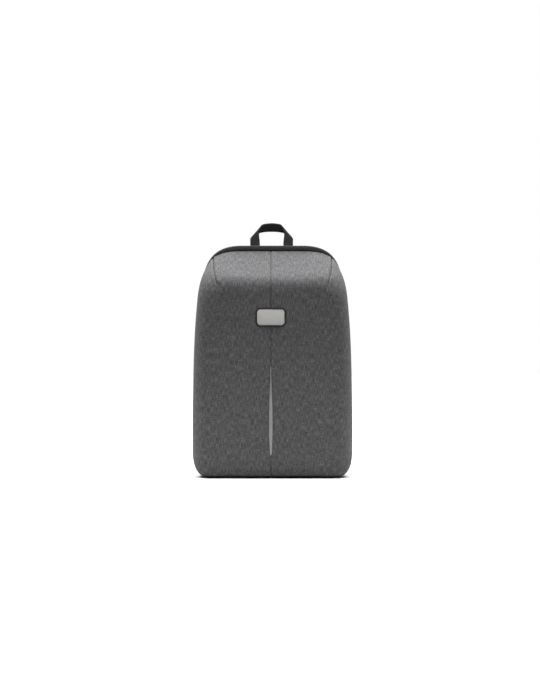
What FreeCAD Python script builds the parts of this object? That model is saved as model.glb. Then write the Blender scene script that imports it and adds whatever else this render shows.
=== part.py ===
import FreeCAD, Part
import os

os.makedirs("parts", exist_ok=True)

Vec = FreeCAD.Vector

# A soft-shell laptop backpack. Millimetres, +Z up, the front faces -Y, the base stands on z = 0.

# driving dimensions
front_y = -66.0        # flat of the front shell
zip_y = 20.0           # rear edge of the front shell, where the zip begins
tape_depth = 1.5       # each zip tape, along Y
coil_depth = 0.4       # each row of zip coil, along Y
coil_gap = 0.3         # between the two rows
gusset_depth = 30.0    # rear gusset, along Y
panel_depth = 4.0      # back panel, along Y
shell_wall = 4.0       # heather cloth on foam
lining_wall = 1.0
mid_height = 214.0     # insets shrink the outline towards this height
half_width = 145.0
base_height = 5.0      # coated base turns up this far
zip_end_height = 34.0  # the zip stops here, above the bottom hinge seam

coil_y = zip_y + tape_depth
rear_coil_y = coil_y + coil_depth + coil_gap
rear_tape_y = rear_coil_y + coil_depth
gusset_y = rear_tape_y + tape_depth
panel_y = gusset_y + gusset_depth
back_y = panel_y + panel_depth

# front shell outline: each control point on the flat and at the zip, then how deep its rounding
# runs, how square that rounding is, and how far the side bellies out. Squareness 0 stands for
# the top's own profile: a short bend, then a straight slope back to the zip
shell_points = {
    "top": ((52, 338), (64, 426), 86, 0, 0),
    "top_pull": ((98, 344), (118, 426), 84, 0, 0),
    "shoulder_pull": ((113, 345), (134, 401), 70, 1.9, 1.5),
    "shoulder": ((116, 316), (137, 340), 64, 2.2, 4.5),
    "flank_pull": ((118, 270), (141.5, 285), 62, 2.2, 5.5),
    "flank_low_pull": ((119, 210), (144.2, 210), 62, 2.2, 6),
    "flank": ((119, 140), (144.5, 140), 62, 2.2, 6),
    "hip": ((119, 60), (144.5, 50), 60, 2.2, 6),
    "hip_pull": ((119, 38), (144.5, 24), 52, 2.2, 6),
    "foot_pull": ((112, 24), (141, 0), 40, 2.2, 4),
    "foot": ((96, 22), (118, 0), 26, 2.2, 0),
}
gusset_points = {
    "top": (60, 438), "top_pull": (121, 437.5), "shoulder_pull": (134.5, 399), "shoulder": (136, 340),
    "flank_pull": (140.5, 285), "flank_low_pull": (143, 210), "flank": (143.5, 140),
    "hip": (143.5, 50), "hip_pull": (143.5, 24), "foot_pull": (140, 0), "foot": (118, 0),
}
bend_share = 0.45      # share of the slope's height taken by the bend at its foot
bend_power = 2.5       # the bend is slow at its foot and quick at its top
shell_stations = (0, 0.015, 0.05, 0.11, 0.19, 0.302326, 0.43, 0.6, 0.8, 1.0)

# centre seam, badge and reflective slit on the front, all a little left of the middle
seam_x = -3.2
badge_height = 299.0
badge_size = (51.0, 29.5)
badge_radius = 6.5
bezel_width = 3.0
bezel_proud = 1.4
plate_proud = 0.9
slit_top = 219.0
slit_widest = 92.0
slit_bottom = 41.5
slit_half = 3.4
slit_sink = 0.8

# grab handle
handle_x = -1.6
handle_y = 40.0
handle_thick = 4.0
handle_outer = ((41, 452), (19, 478), (0, 481))       # shoulder, fold and crown
handle_inner = ((22.5, 440.5), (24.5, 461.5), (0, 464.5))

# shoulder straps: the right-hand one seen from behind, and its arch along Y at the top,
# the middle and the foot
pad_top = 386.0
pad_low = 150.0
pad_inner = ((24, pad_top), (12, 300), (44, 240), (56, pad_low))
pad_outer = ((70, pad_top), (88, 310), (112, 240), (108, pad_low))
pad_arch = (78, 101, 84)
pad_thick = 9.0
yoke_top = 404.0
yoke_arch = (67, 74.5, 80)
yoke_thick = 4.0
buckle_low = 122.0
webbing_foot = 56.0

usb_height = 300.0
usb_y = 38.0

# zip sliders on the right-hand side
slider_x = 144.8
slider_width = 6.4
upper_slider_height = 130.0
lower_slider_height = 104.0


def box(x0, x1, y0, y1, z0, z1):
    return Part.makeBox(x1 - x0, y1 - y0, z1 - z0, Vec(x0, y0, z0))


def slab(x0, x1, y0, y1, z0, z1, radius):
    # a pad: box with its four long edges along Y rounded
    solid = box(x0, x1, y0, y1, z0, z1)
    edges = [e for e in solid.Edges if abs(e.tangentAt(e.FirstParameter).y) > 0.9]
    return solid.makeFillet(radius, edges)


def mirror(shape):
    return shape.mirror(Vec(0, 0, 0), Vec(1, 0, 0))


def inset(point, wall):
    x, z = point
    lift = wall * (z - mid_height) / mid_height
    return x * (1 - wall / half_width), z - lift


def rise(part_way, square):
    # how far a control point has grown from the flat's outline to the zip's
    if square:
        return (1 - (1 - part_way) ** square) ** (1 / square)
    order = bend_power + 1
    lost = bend_share * bend_power / order
    run = part_way * (1 - lost)
    if run < bend_share / order:
        return bend_share * (order * run / bend_share) ** (1 / order)
    return run + lost


def shell_ring(y, wall):
    # control points of the front shell's outline at depth y, for a skin set in by wall
    start = front_y + wall
    reach = (zip_y - start) / (zip_y - front_y)
    ring = {}
    for name, (flat, rim, depth, square, belly) in shell_points.items():
        part_way = min(1.0, max(0.0, (y - start) / (depth * reach)))
        along = min(1.0, max(0.0, (y - start) / (zip_y - start)))
        grow = rise(part_way, square)
        x = flat[0] + (rim[0] - flat[0]) * grow + belly * 4 * along * (1 - along)
        z = flat[1] + (rim[1] - flat[1]) * grow
        ring[name] = inset((x, z), wall)
    return ring


def outline(ring, y):
    # closed wire in the plane at depth y: right side down, base, left side up, top
    def at(name, side):
        return Vec(side * ring[name][0], y, ring[name][1])

    def bend(names, side):
        curve = Part.BezierCurve()
        curve.setPoles([at(name, side) for name in names])
        return curve.toShape()

    def side_edges(side):
        return [
            bend(("top", "top_pull", "shoulder_pull", "shoulder"), side),
            bend(("shoulder", "flank_pull", "flank_low_pull", "flank"), side),
            Part.makeLine(at("flank", side), at("hip", side)),
            bend(("hip", "hip_pull", "foot_pull", "foot"), side),
        ]

    base = Part.makeLine(at("foot", 1), at("foot", -1))
    top = Part.makeLine(at("top", -1), at("top", 1))
    return Part.Wire(Part.__sortEdges__([top] + side_edges(1) + [base] + side_edges(-1)))


def shell_solid(wall, overrun=0.0):
    start = front_y + wall
    wires = []
    for station in shell_stations:
        y = start + (zip_y - start) * station
        wires.append(outline(shell_ring(y, wall), y))
    if overrun:
        wires.append(outline(shell_ring(zip_y, wall), zip_y + overrun))
    return Part.makeLoft(wires, True, True)


def plate_solid(ring, y0, y1):
    return Part.Face(outline(ring, y0)).extrude(Vec(0, y1 - y0, 0))


def gusset_ring(wall):
    return {name: inset(point, wall) for name, point in gusset_points.items()}


def frame_solid(outer, inner, y0, y1):
    return plate_solid(outer, y0, y1).cut(plate_solid(inner, y0 - 1, y1 + 1))


def above(shape, height):
    return shape.common(box(-200, 200, -200, 200, height, 600))


def slit_solid(y0, y1):
    # spindle: a long taper up from the widest point, a short one down
    top = Vec(seam_x, y0, slit_top)
    low = Vec(seam_x, y0, slit_bottom)
    edges = []
    for side in (1, -1):
        wide = Vec(seam_x + side * slit_half, y0, slit_widest)
        upper = Part.BezierCurve()
        upper.setPoles([top, Vec(seam_x + side * slit_half, y0, slit_widest + 55), wide])
        lower = Part.BezierCurve()
        lower.setPoles([wide, Vec(seam_x + side * slit_half, y0, slit_widest - 30), low])
        edges += [upper.toShape(), lower.toShape()]
    return Part.Face(Part.Wire(Part.__sortEdges__(edges))).extrude(Vec(0, y1 - y0, 0))


def badge_solid(margin, y0, y1):
    half_x = badge_size[0] / 2 + margin
    half_z = badge_size[1] / 2 + margin
    return slab(seam_x - half_x, seam_x + half_x, y0, y1, badge_height - half_z,
                badge_height + half_z, badge_radius + margin)


def shell_skin():
    skin = shell_solid(0).cut(shell_solid(shell_wall, 2.0))
    return skin.cut(slit_solid(front_y - 2, front_y + shell_wall))


def base_panel(skin):
    return skin.common(box(-200, 200, -200, 200, -5, base_height))


def front_panel(skin, side):
    if side > 0:
        return skin.common(box(seam_x, 200, -200, 200, base_height, 600))
    return skin.common(box(-200, seam_x, -200, 200, base_height, 600))


def front_lining():
    return shell_solid(shell_wall).cut(shell_solid(shell_wall + lining_wall, 2.0))


def reflective_strip():
    return slit_solid(front_y + slit_sink, front_y + shell_wall)


def badge_bezel():
    ring = badge_solid(bezel_width, front_y - bezel_proud, front_y)
    return ring.cut(badge_solid(0, front_y - bezel_proud - 1, front_y + 1))


def badge_plate():
    return badge_solid(0, front_y - plate_proud, front_y)


def front_zip_tape():
    rim = shell_ring(zip_y, 0.6)
    return frame_solid(rim, shell_ring(zip_y, 7), zip_y, coil_y)


def front_zip_coil():
    row = frame_solid(gusset_ring(3.2), gusset_ring(5.2), coil_y, coil_y + coil_depth)
    return above(row, zip_end_height)


def rear_zip_coil():
    row = frame_solid(gusset_ring(3.2), gusset_ring(5.2), rear_coil_y, rear_tape_y)
    return above(row, zip_end_height)


def rear_zip_tape():
    return frame_solid(gusset_ring(0.6), gusset_ring(7), rear_tape_y, gusset_y)


def pocket(x0, x1, y0, y1, z0, z1, wall):
    # open-topped pouch whose back is the panel at y0
    solid = box(x0, x1, y0, y1, z0, z1)
    return solid.cut(box(x0 + wall, x1 - wall, y0 + wall, y1 - wall, z0 + wall, z1 + 5))


def lining_face():
    return front_y + shell_wall + lining_wall


def organiser_pocket():
    return pocket(-95, 95, lining_face(), lining_face() + 14, 60, 250, 1.5)


def battery_pocket():
    return pocket(-100, -16, lining_face(), lining_face() + 25, 253, 330, 1.5)


def back_gusset():
    ring = frame_solid(gusset_ring(0), gusset_ring(shell_wall), gusset_y, panel_y)
    return ring.cut(usb_block())


def back_panel():
    return plate_solid(gusset_ring(0), panel_y, back_y)


def back_stiffener():
    return plate_solid(gusset_ring(shell_wall + 3), panel_y - 3, panel_y)


def laptop_sleeve():
    y1 = panel_y - 3
    outer = box(-128, 128, y1 - 19, y1, 14, 330)
    return outer.cut(box(-126.5, 126.5, y1 - 17.5, y1 + 1, 15.5, 340))


def laptop_tab_anchor():
    y1 = panel_y - 3
    return box(-20, 20, y1 - 2, y1, 346, 362)


def laptop_tab():
    # strap folded over the sleeve's mouth and down its front
    y1 = panel_y - 5.8
    over = box(-18, 18, y1 - 20, y1, 350, 352)
    down = box(-18, 18, y1 - 20, y1 - 18, 312, 350)
    return over.fuse(down).removeSplitter()


def handle_loop():
    # flat webbing loop: upright legs, slanting shoulders and a bowed grip
    half = handle_thick / 2
    foot = handle_inner[0][1]
    outer = [(handle_outer[0][0], foot), *handle_outer[:2]]

    def at(x, z):
        return Vec(handle_x + x, handle_y - half, z)

    edges = [Part.Arc(at(x, z), at(*crown), at(-x, z)).toShape()
             for (x, z), crown in (handle_outer[1:], handle_inner[1:])]
    for side in (1, -1):
        for run in (outer, handle_inner[:2]):
            for (x0, z0), (x1, z1) in zip(run, run[1:]):
                edges.append(Part.makeLine(at(side * x0, z0), at(side * x1, z1)))
        edges.append(Part.makeLine(at(side * outer[0][0], foot), at(side * handle_inner[0][0], foot)))
    loop = Part.Face(Part.Wire(Part.__sortEdges__(edges))).extrude(Vec(0, handle_thick, 0))
    width = outer[0][0] - handle_inner[0][0]
    for start in (handle_inner[0][0], -outer[0][0]):
        roll = Part.makeCylinder(half, width, at(start, foot) + Vec(0, half, 0), Vec(1, 0, 0))
        loop = loop.fuse(roll)
    return loop.removeSplitter()


def grip_wedge():
    # the grip lies between two slanting folds, from the loop's inner corners to its shoulders
    (x0, z0), (x1, z1) = handle_inner[1], handle_outer[1]
    lean = (x1 - x0) / (z1 - z0)
    high = (x1 + 6 * lean, z1 + 6)
    corners = [(x0, z0), high, (-high[0], high[1]), (-x0, z0)]
    points = [Vec(handle_x + x, handle_y - handle_thick, z) for x, z in corners]
    return Part.Face(Part.makePolygon(points + points[:1])).extrude(Vec(0, 2 * handle_thick, 0))


def handle_webbing(loop):
    return loop.cut(grip_wedge())


def handle_grip(loop):
    return loop.common(grip_wedge())


def handle_anchor():
    # reinforcing patch inside the gusset under the handle
    height = gusset_ring(shell_wall)["top"][1]
    return box(-50, 50, handle_y - 9, handle_y + 9, height - 1.5, height)


def back_pad(side):
    pad = slab(16, 118, back_y, back_y + 8, 76, 352, 22)
    rim = [e for e in pad.Edges if e.BoundBox.YMin > back_y + 7.9]
    pad = pad.makeFillet(3.5, rim)
    return pad if side > 0 else mirror(pad)


def lumbar_pad():
    pad = slab(-90, 90, back_y, back_y + 7, 22, 66, 14)
    rim = [e for e in pad.Edges if e.BoundBox.YMin > back_y + 6.9]
    return pad.makeFillet(3, rim)


def trolley_strap():
    y1 = back_y + 10.5
    band = box(-126, 126, back_y, y1, 188, 238)
    return band.cut(box(-123.5, 123.5, back_y - 1, y1 - 2, 180, 250))


def strap_band(side, thick, arch_y, z_top, z_low, edges):
    # side view arch extruded across, trimmed to the strap's own edges seen from the back
    y_top, y_mid, y_low = arch_y

    def arch(offset):
        z_mid = (z_top + z_low) / 2
        start = Vec(0, y_top + offset, z_top)
        return Part.Arc(start, Vec(0, y_mid + offset, z_mid), Vec(0, y_low + offset, z_low))

    inner = arch(0).toShape()
    outer = arch(thick).toShape()
    high = Part.makeLine(Vec(0, y_top, z_top), Vec(0, y_top + thick, z_top))
    low = Part.makeLine(Vec(0, y_low, z_low), Vec(0, y_low + thick, z_low))
    face = Part.Face(Part.Wire(Part.__sortEdges__([inner, high, outer, low])))
    sheet = face.extrude(Vec(200, 0, 0))
    shape = sheet.common(edges)
    return shape if side > 0 else mirror(shape)


def strap_edges(points):
    corners = [Vec(x, 0, z) for x, z in points]
    return Part.Face(Part.makePolygon(corners + [corners[0]])).extrude(Vec(0, 200, 0))


def pad_edges():
    # S-curved strap pad seen from behind
    sides = [[Vec(x, 0, z) for x, z in points] for points in (pad_inner, pad_outer)]
    inner = Part.BezierCurve()
    inner.setPoles(sides[0])
    outer = Part.BezierCurve()
    outer.setPoles(sides[1])
    top = Part.makeLine(sides[0][0], sides[1][0])
    low = Part.makeLine(sides[0][-1], sides[1][-1])
    wire = Part.Wire(Part.__sortEdges__([inner.toShape(), low, outer.toShape(), top]))
    return Part.Face(wire).extrude(Vec(0, 200, 0))


def strap_pad(side):
    return strap_band(side, pad_thick, pad_arch, pad_top, pad_low, pad_edges())


def strap_yoke(side):
    edges = strap_edges([(30, yoke_top), (60, yoke_top), (64, pad_top), (30, pad_top)])
    return strap_band(side, yoke_thick, yoke_arch, yoke_top, pad_top, edges)


def strap_top_anchor(side):
    patch = box(24, 66, back_y, back_y + 2, yoke_top - 10, yoke_top + 10)
    return patch if side > 0 else mirror(patch)


def ladder_lock(side):
    # moulded three-bar buckle under the pad's end
    frame = box(66, 98, 84, 90, buckle_low, pad_low)
    for slot in (5, 14):
        frame = frame.cut(box(69, 95, 80, 95, buckle_low + slot, buckle_low + slot + 5))
    return frame if side > 0 else mirror(frame)


def lower_webbing(side):
    # straight run of webbing from the buckle's lower slot to the bottom corner
    corners = [Vec(70, 86, buckle_low), Vec(94, 86, buckle_low)]
    corners += [Vec(124, 67, webbing_foot), Vec(100, 67, webbing_foot)]
    face = Part.Face(Part.makePolygon(corners + [corners[0]]))
    webbing = face.extrude(Vec(0, 2, 0))
    return webbing if side > 0 else mirror(webbing)


def strap_low_anchor(side):
    patch = box(96, 128, back_y, back_y + 7, 20, 48)
    patch = patch.common(plate_solid(gusset_ring(8), back_y - 1, back_y + 20))
    return patch if side > 0 else mirror(patch)


def strap_tail(side):
    tail = box(71, 93, 91.5, 93, buckle_low - 50, buckle_low + 12)
    return tail if side > 0 else mirror(tail)


def slider_body(height):
    # slider standing off the coil, bridge loop outside
    front = zip_y + 0.4
    rear = front + slider_width
    body = box(slider_x, slider_x + 1.9, front, rear, height, height + 11)
    bridge = box(slider_x + 1.9, slider_x + 3.2, front + 1.6, rear - 1.6, height + 2.5, height + 8.5)
    hole = box(slider_x + 1.9, slider_x + 2.6, front, rear, height + 4, height + 7)
    return body.fuse(bridge.cut(hole)).removeSplitter()


def slider_pull(height):
    # flat pull hanging outside the bridge
    y = zip_y + 0.4 + slider_width / 2
    return box(slider_x + 3.5, slider_x + 4.6, y - 2.8, y + 2.8, height - 14, height + 7)


def usb_block():
    return box(-146, -130, usb_y - 9, usb_y + 9, usb_height - 6, usb_height + 6)


def usb_port():
    body = box(-141.6, -131, usb_y - 9, usb_y + 9, usb_height - 6, usb_height + 6)
    return body.cut(box(-150, -133, usb_y - 6.3, usb_y + 6.3, usb_height - 2.6, usb_height + 2.6))


def usb_cover():
    flap = box(-143.6, -142.0, usb_y - 8.5, usb_y + 8.5, usb_height - 4.5, usb_height + 6.5)
    roll = Part.makeCylinder(0.8, 17, Vec(-142.8, usb_y - 8.5, usb_height - 4.5), Vec(0, 1, 0))
    return flap.fuse(roll).removeSplitter()


def write(name, shape):
    solids = shape.Solids
    total = sum(solid.Volume for solid in solids)
    if len(solids) == 1:
        shape = solids[0]
    else:
        shape = Part.makeCompound(solids)
    shape.exportStep(f"parts/{name}.step")
    low = shape.BoundBox
    print(f"{name:22s} solids {len(solids)} volume {total:9.0f} valid {shape.isValid()}"
          f"  x {low.XMin:.1f} {low.XMax:.1f}  y {low.YMin:.1f} {low.YMax:.1f}"
          f"  z {low.ZMin:.1f} {low.ZMax:.1f}")


skin = shell_skin()
write("base_panel", base_panel(skin))
write("front_panel_right", front_panel(skin, 1))
write("front_panel_left", front_panel(skin, -1))
write("front_lining", front_lining())
write("reflective_strip", reflective_strip())
write("badge_bezel", badge_bezel())
write("badge_plate", badge_plate())
write("front_zip_tape", front_zip_tape())
write("front_zip_coil", front_zip_coil())
write("organiser_pocket", organiser_pocket())
write("battery_pocket", battery_pocket())
write("back_gusset", back_gusset())
write("back_panel", back_panel())
write("back_stiffener", back_stiffener())
write("rear_zip_tape", rear_zip_tape())
write("rear_zip_coil", rear_zip_coil())
write("laptop_sleeve", laptop_sleeve())
write("laptop_tab_anchor", laptop_tab_anchor())
write("laptop_tab", laptop_tab())
write("handle_anchor", handle_anchor())
loop = handle_loop()
write("handle_webbing", handle_webbing(loop))
write("handle_grip", handle_grip(loop))
write("lumbar_pad", lumbar_pad())
write("trolley_strap", trolley_strap())
write("usb_port", usb_port())
write("usb_cover", usb_cover())
write("upper_slider", slider_body(upper_slider_height))
write("upper_pull", slider_pull(upper_slider_height))
write("lower_slider", slider_body(lower_slider_height))
write("lower_pull", slider_pull(lower_slider_height))
for side, hand in ((1, "right"), (-1, "left")):
    write(f"back_pad_{hand}", back_pad(side))
    write(f"strap_pad_{hand}", strap_pad(side))
    write(f"strap_yoke_{hand}", strap_yoke(side))
    write(f"strap_top_anchor_{hand}", strap_top_anchor(side))
    write(f"strap_buckle_{hand}", ladder_lock(side))
    write(f"strap_webbing_{hand}", lower_webbing(side))
    write(f"strap_low_anchor_{hand}", strap_low_anchor(side))
    write(f"strap_tail_{hand}", strap_tail(side))
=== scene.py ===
import math
import bmesh
import bpy
import numpy as np
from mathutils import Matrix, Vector, noise
from mathutils.bvhtree import BVHTree


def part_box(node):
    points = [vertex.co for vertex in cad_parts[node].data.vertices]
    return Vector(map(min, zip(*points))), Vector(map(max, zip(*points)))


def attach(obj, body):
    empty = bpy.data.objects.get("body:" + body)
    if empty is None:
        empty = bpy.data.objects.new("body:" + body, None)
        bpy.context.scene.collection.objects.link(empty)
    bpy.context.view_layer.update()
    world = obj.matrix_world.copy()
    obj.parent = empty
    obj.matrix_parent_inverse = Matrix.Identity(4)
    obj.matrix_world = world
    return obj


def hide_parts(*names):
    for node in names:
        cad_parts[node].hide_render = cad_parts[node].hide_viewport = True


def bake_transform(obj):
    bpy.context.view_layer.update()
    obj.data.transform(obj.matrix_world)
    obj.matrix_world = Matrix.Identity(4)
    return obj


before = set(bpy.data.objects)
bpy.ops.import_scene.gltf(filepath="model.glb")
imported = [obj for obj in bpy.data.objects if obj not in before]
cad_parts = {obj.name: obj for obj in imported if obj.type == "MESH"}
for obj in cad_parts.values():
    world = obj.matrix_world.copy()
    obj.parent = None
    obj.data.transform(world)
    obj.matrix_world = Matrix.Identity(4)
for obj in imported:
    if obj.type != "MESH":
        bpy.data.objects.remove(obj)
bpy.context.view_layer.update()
mm = 0.001
scene = bpy.context.scene


def hexColour(text):
    channels = [int(text[i:i + 2], 16) / 255 for i in (0, 2, 4)]
    linear = [c / 12.92 if c <= 0.04045 else ((c + 0.055) / 1.055) ** 2.4 for c in channels]
    return (*linear, 1.0)


def addNode(tree, kind, settings=None, links=None):
    node = tree.nodes.new(kind)
    for name, value in (settings or {}).items():
        if name.startswith("in:"):
            key = name[3:]
            node.inputs[int(key) if key.isdigit() else key].default_value = value
        else:
            setattr(node, name, value)
    for name, socket in (links or {}).items():
        tree.links.new(socket, node.inputs[int(name) if name.isdigit() else name])
    return node


def newMaterial(name):
    material = bpy.data.materials.new(name)
    material.use_nodes = True
    tree = material.node_tree
    shader = tree.nodes["Principled BSDF"]
    return material, tree, shader


def clothCoords(tree, useUv):
    if useUv:
        return addNode(tree, "ShaderNodeUVMap", {"uv_map": "cloth"}).outputs["UV"]
    return addNode(tree, "ShaderNodeTexCoord").outputs["Object"]


def stretched(tree, coords, perMetre, detail=2.0, rough=0.55):
    placed = addNode(tree, "ShaderNodeMapping", {"in:Scale": perMetre}, {"Vector": coords})
    return addNode(tree, "ShaderNodeTexNoise",
                   {"in:Scale": 1.0, "in:Detail": detail, "in:Roughness": rough},
                   {"Vector": placed.outputs["Vector"]}).outputs["Fac"]


def mathNode(tree, operation, first, second):
    node = addNode(tree, "ShaderNodeMath", {"operation": operation})
    for index, value in enumerate((first, second)):
        if isinstance(value, (int, float)):
            node.inputs[index].default_value = value
        else:
            tree.links.new(value, node.inputs[index])
    return node.outputs[0]


def bands(tree, coords, axis, periodMm, distortion=0.8):
    # one light and one dark thread in each period
    return addNode(tree, "ShaderNodeTexWave",
                   {"wave_type": "BANDS", "bands_direction": axis, "in:Scale": 100 * math.pi / periodMm,
                    "in:Distortion": distortion, "in:Detail": 1.0, "in:Detail Scale": 2.0},
                   {"Vector": coords}).outputs["Fac"]


def bumpFrom(tree, shader, height, strength, depthMm):
    bump = addNode(tree, "ShaderNodeBump", {"in:Strength": strength, "in:Distance": depthMm * mm},
                   {"Height": height})
    tree.links.new(bump.outputs["Normal"], shader.inputs["Normal"])


def rampOf(tree, factor, stops):
    ramp = addNode(tree, "ShaderNodeValToRGB", links={"Fac": factor})
    elements = ramp.color_ramp.elements
    while len(elements) < len(stops):
        elements.new(0.5)
    for element, (place, colour) in zip(elements, stops):
        element.position = place
        element.color = hexColour(colour)
    return ramp.outputs["Color"]


def heatherCloth(name, dark, mid, light, useUv=True, threadMm=0.9, paintSeamShade=False):
    # melange polyester, plain weave: dark and light fibres spun together make fine upright streaks
    # with fainter cross streaks. Threads are drawn at 0.9 mm, a little coarser than real ones, to show
    material, tree, shader = newMaterial(name)
    coords = clothCoords(tree, useUv)
    warp = stretched(tree, coords, (540, 90, 60) if useUv else (540, 540, 90), 2.0, 0.6)
    weft = stretched(tree, coords, (110, 640, 60) if useUv else (110, 110, 640), 2.0, 0.6)
    cloud = stretched(tree, coords, (35, 28, 28), 2.0, 0.5)
    mix = mathNode(tree, "ADD", mathNode(tree, "MULTIPLY", warp, 0.62),
                   mathNode(tree, "MULTIPLY", weft, 0.38))
    mix = mathNode(tree, "ADD", mix, mathNode(tree, "MULTIPLY", cloud, 0.05))
    colour = rampOf(tree, mix, [(0.36, dark), (0.53, mid), (0.70, light)])
    if paintSeamShade:
        # painted shade: the cloth turns towards near black where the seam attribute marks the sewn folds
        # along the centre seam, slit lips and darts
        paintedSeamShade = addNode(tree, "ShaderNodeAttribute", {"attribute_name": "seam"}).outputs["Fac"]
        colour = addNode(tree, "ShaderNodeMix", {"data_type": "RGBA", "in:7": hexColour("151516")},
                         {"0": paintedSeamShade, "6": colour}).outputs[2]
    weave = mathNode(tree, "MULTIPLY", bands(tree, coords, "X", threadMm, 1.2),
                     bands(tree, coords, "Y" if useUv else "Z", threadMm, 1.2))
    bumpFrom(tree, shader, mathNode(tree, "ADD", weave, mathNode(tree, "MULTIPLY", mix, 0.8)), 0.35, 0.4)
    tree.links.new(colour, shader.inputs["Base Color"])
    shader.inputs["Roughness"].default_value = 0.92
    shader.inputs["Sheen Weight"].default_value = 0.12
    shader.inputs["Sheen Roughness"].default_value = 0.55
    shader.inputs["Specular IOR Level"].default_value = 0.25
    return material


def webbingCloth(name, dark, light, ribMm=2.2):
    # polyester webbing: chunky ribs across, slightly lighter on their crowns and darker between them
    material, tree, shader = newMaterial(name)
    coords = clothCoords(tree, True)
    ribs = mathNode(tree, "MULTIPLY", bands(tree, coords, "Y", ribMm, 0.6), bands(tree, coords, "X", 1.3))
    grain = stretched(tree, coords, (500, 500, 500), 2.0)
    mix = mathNode(tree, "ADD", mathNode(tree, "MULTIPLY", ribs, 0.6), mathNode(tree, "MULTIPLY", grain, 0.4))
    tree.links.new(rampOf(tree, mix, [(0.2, dark), (0.8, light)]), shader.inputs["Base Color"])
    bumpFrom(tree, shader, mix, 0.6, 0.5)
    shader.inputs["Roughness"].default_value = 0.8
    shader.inputs["Sheen Weight"].default_value = 0.1
    shader.inputs["Specular IOR Level"].default_value = 0.3
    return material


def spacerMesh(name, dark, light, holeMm=3.2):
    # knitted spacer mesh over foam: rows of small dark holes in a matte knit
    material, tree, shader = newMaterial(name)
    coords = addNode(tree, "ShaderNodeTexCoord").outputs["Object"]
    placed = addNode(tree, "ShaderNodeMapping", {"in:Scale": (1000 / holeMm, 20, 1000 / holeMm)},
                     {"Vector": coords})
    cells = addNode(tree, "ShaderNodeTexVoronoi", {"feature": "F1", "in:Scale": 1.0, "in:Randomness": 0.12},
                    {"Vector": placed.outputs["Vector"]}).outputs["Distance"]
    edge = addNode(tree, "ShaderNodeMapRange", {"in:1": 0.22, "in:2": 0.42}, {"0": cells}).outputs[0]
    grain = stretched(tree, coords, (700, 700, 700), 2.0)
    mix = mathNode(tree, "MULTIPLY", edge, mathNode(tree, "ADD", mathNode(tree, "MULTIPLY", grain, 0.5), 0.6))
    tree.links.new(rampOf(tree, mix, [(0.05, dark), (0.85, light)]), shader.inputs["Base Color"])
    bumpFrom(tree, shader, mix, 0.7, 0.8)
    shader.inputs["Roughness"].default_value = 0.95
    shader.inputs["Sheen Weight"].default_value = 0.15
    shader.inputs["Specular IOR Level"].default_value = 0.2
    return material


def brushedPlate(name, colour, shade):
    # aluminium sheet brushed along its length: fine level scratches stretch the highlight sideways
    material, tree, shader = newMaterial(name)
    coords = addNode(tree, "ShaderNodeTexCoord").outputs["Object"]
    scratch = stretched(tree, coords, (60, 900, 5200), 4.0, 0.7)
    tree.links.new(rampOf(tree, scratch, [(0.3, shade), (0.7, colour)]), shader.inputs["Base Color"])
    rough = addNode(tree, "ShaderNodeMapRange", {"in:3": 0.48, "in:4": 0.62}, {"0": scratch}).outputs[0]
    tree.links.new(rough, shader.inputs["Roughness"])
    bumpFrom(tree, shader, scratch, 0.15, 0.1)
    shader.inputs["Metallic"].default_value = 1.0
    shader.inputs["Anisotropic"].default_value = 0.9
    shader.inputs["Anisotropic Rotation"].default_value = 0.25
    return material


def mouldedPlastic(name, colour, shade, rough=0.5, grainMm=0.5, specular=0.4):
    # acetal or ABS from a spark-eroded mould: even fine grain, soft highlight
    material, tree, shader = newMaterial(name)
    coords = addNode(tree, "ShaderNodeTexCoord").outputs["Object"]
    perMetre = 1000 / grainMm
    grain = stretched(tree, coords, (perMetre, perMetre, perMetre), 2.0)
    cloud = stretched(tree, coords, (40, 40, 40), 1.0)
    tree.links.new(rampOf(tree, cloud, [(0.3, shade), (0.7, colour)]), shader.inputs["Base Color"])
    bumpFrom(tree, shader, grain, 0.2, 0.1)
    shader.inputs["Roughness"].default_value = rough
    shader.inputs["Specular IOR Level"].default_value = specular
    return material


def reflectiveTape(name, colour, shade):
    # glass-bead tape: silver grey, faintly mottled, brighter than cloth under soft light
    material, tree, shader = newMaterial(name)
    coords = addNode(tree, "ShaderNodeTexCoord").outputs["Object"]
    beads = stretched(tree, coords, (1200, 1200, 1200), 1.0)
    cloud = stretched(tree, coords, (60, 60, 25), 2.0)
    mix = mathNode(tree, "ADD", mathNode(tree, "MULTIPLY", beads, 0.3),
                   mathNode(tree, "MULTIPLY", cloud, 0.7))
    tree.links.new(rampOf(tree, mix, [(0.3, shade), (0.7, colour)]), shader.inputs["Base Color"])
    shader.inputs["Metallic"].default_value = 0.35
    shader.inputs["Roughness"].default_value = 0.45
    return material


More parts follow.
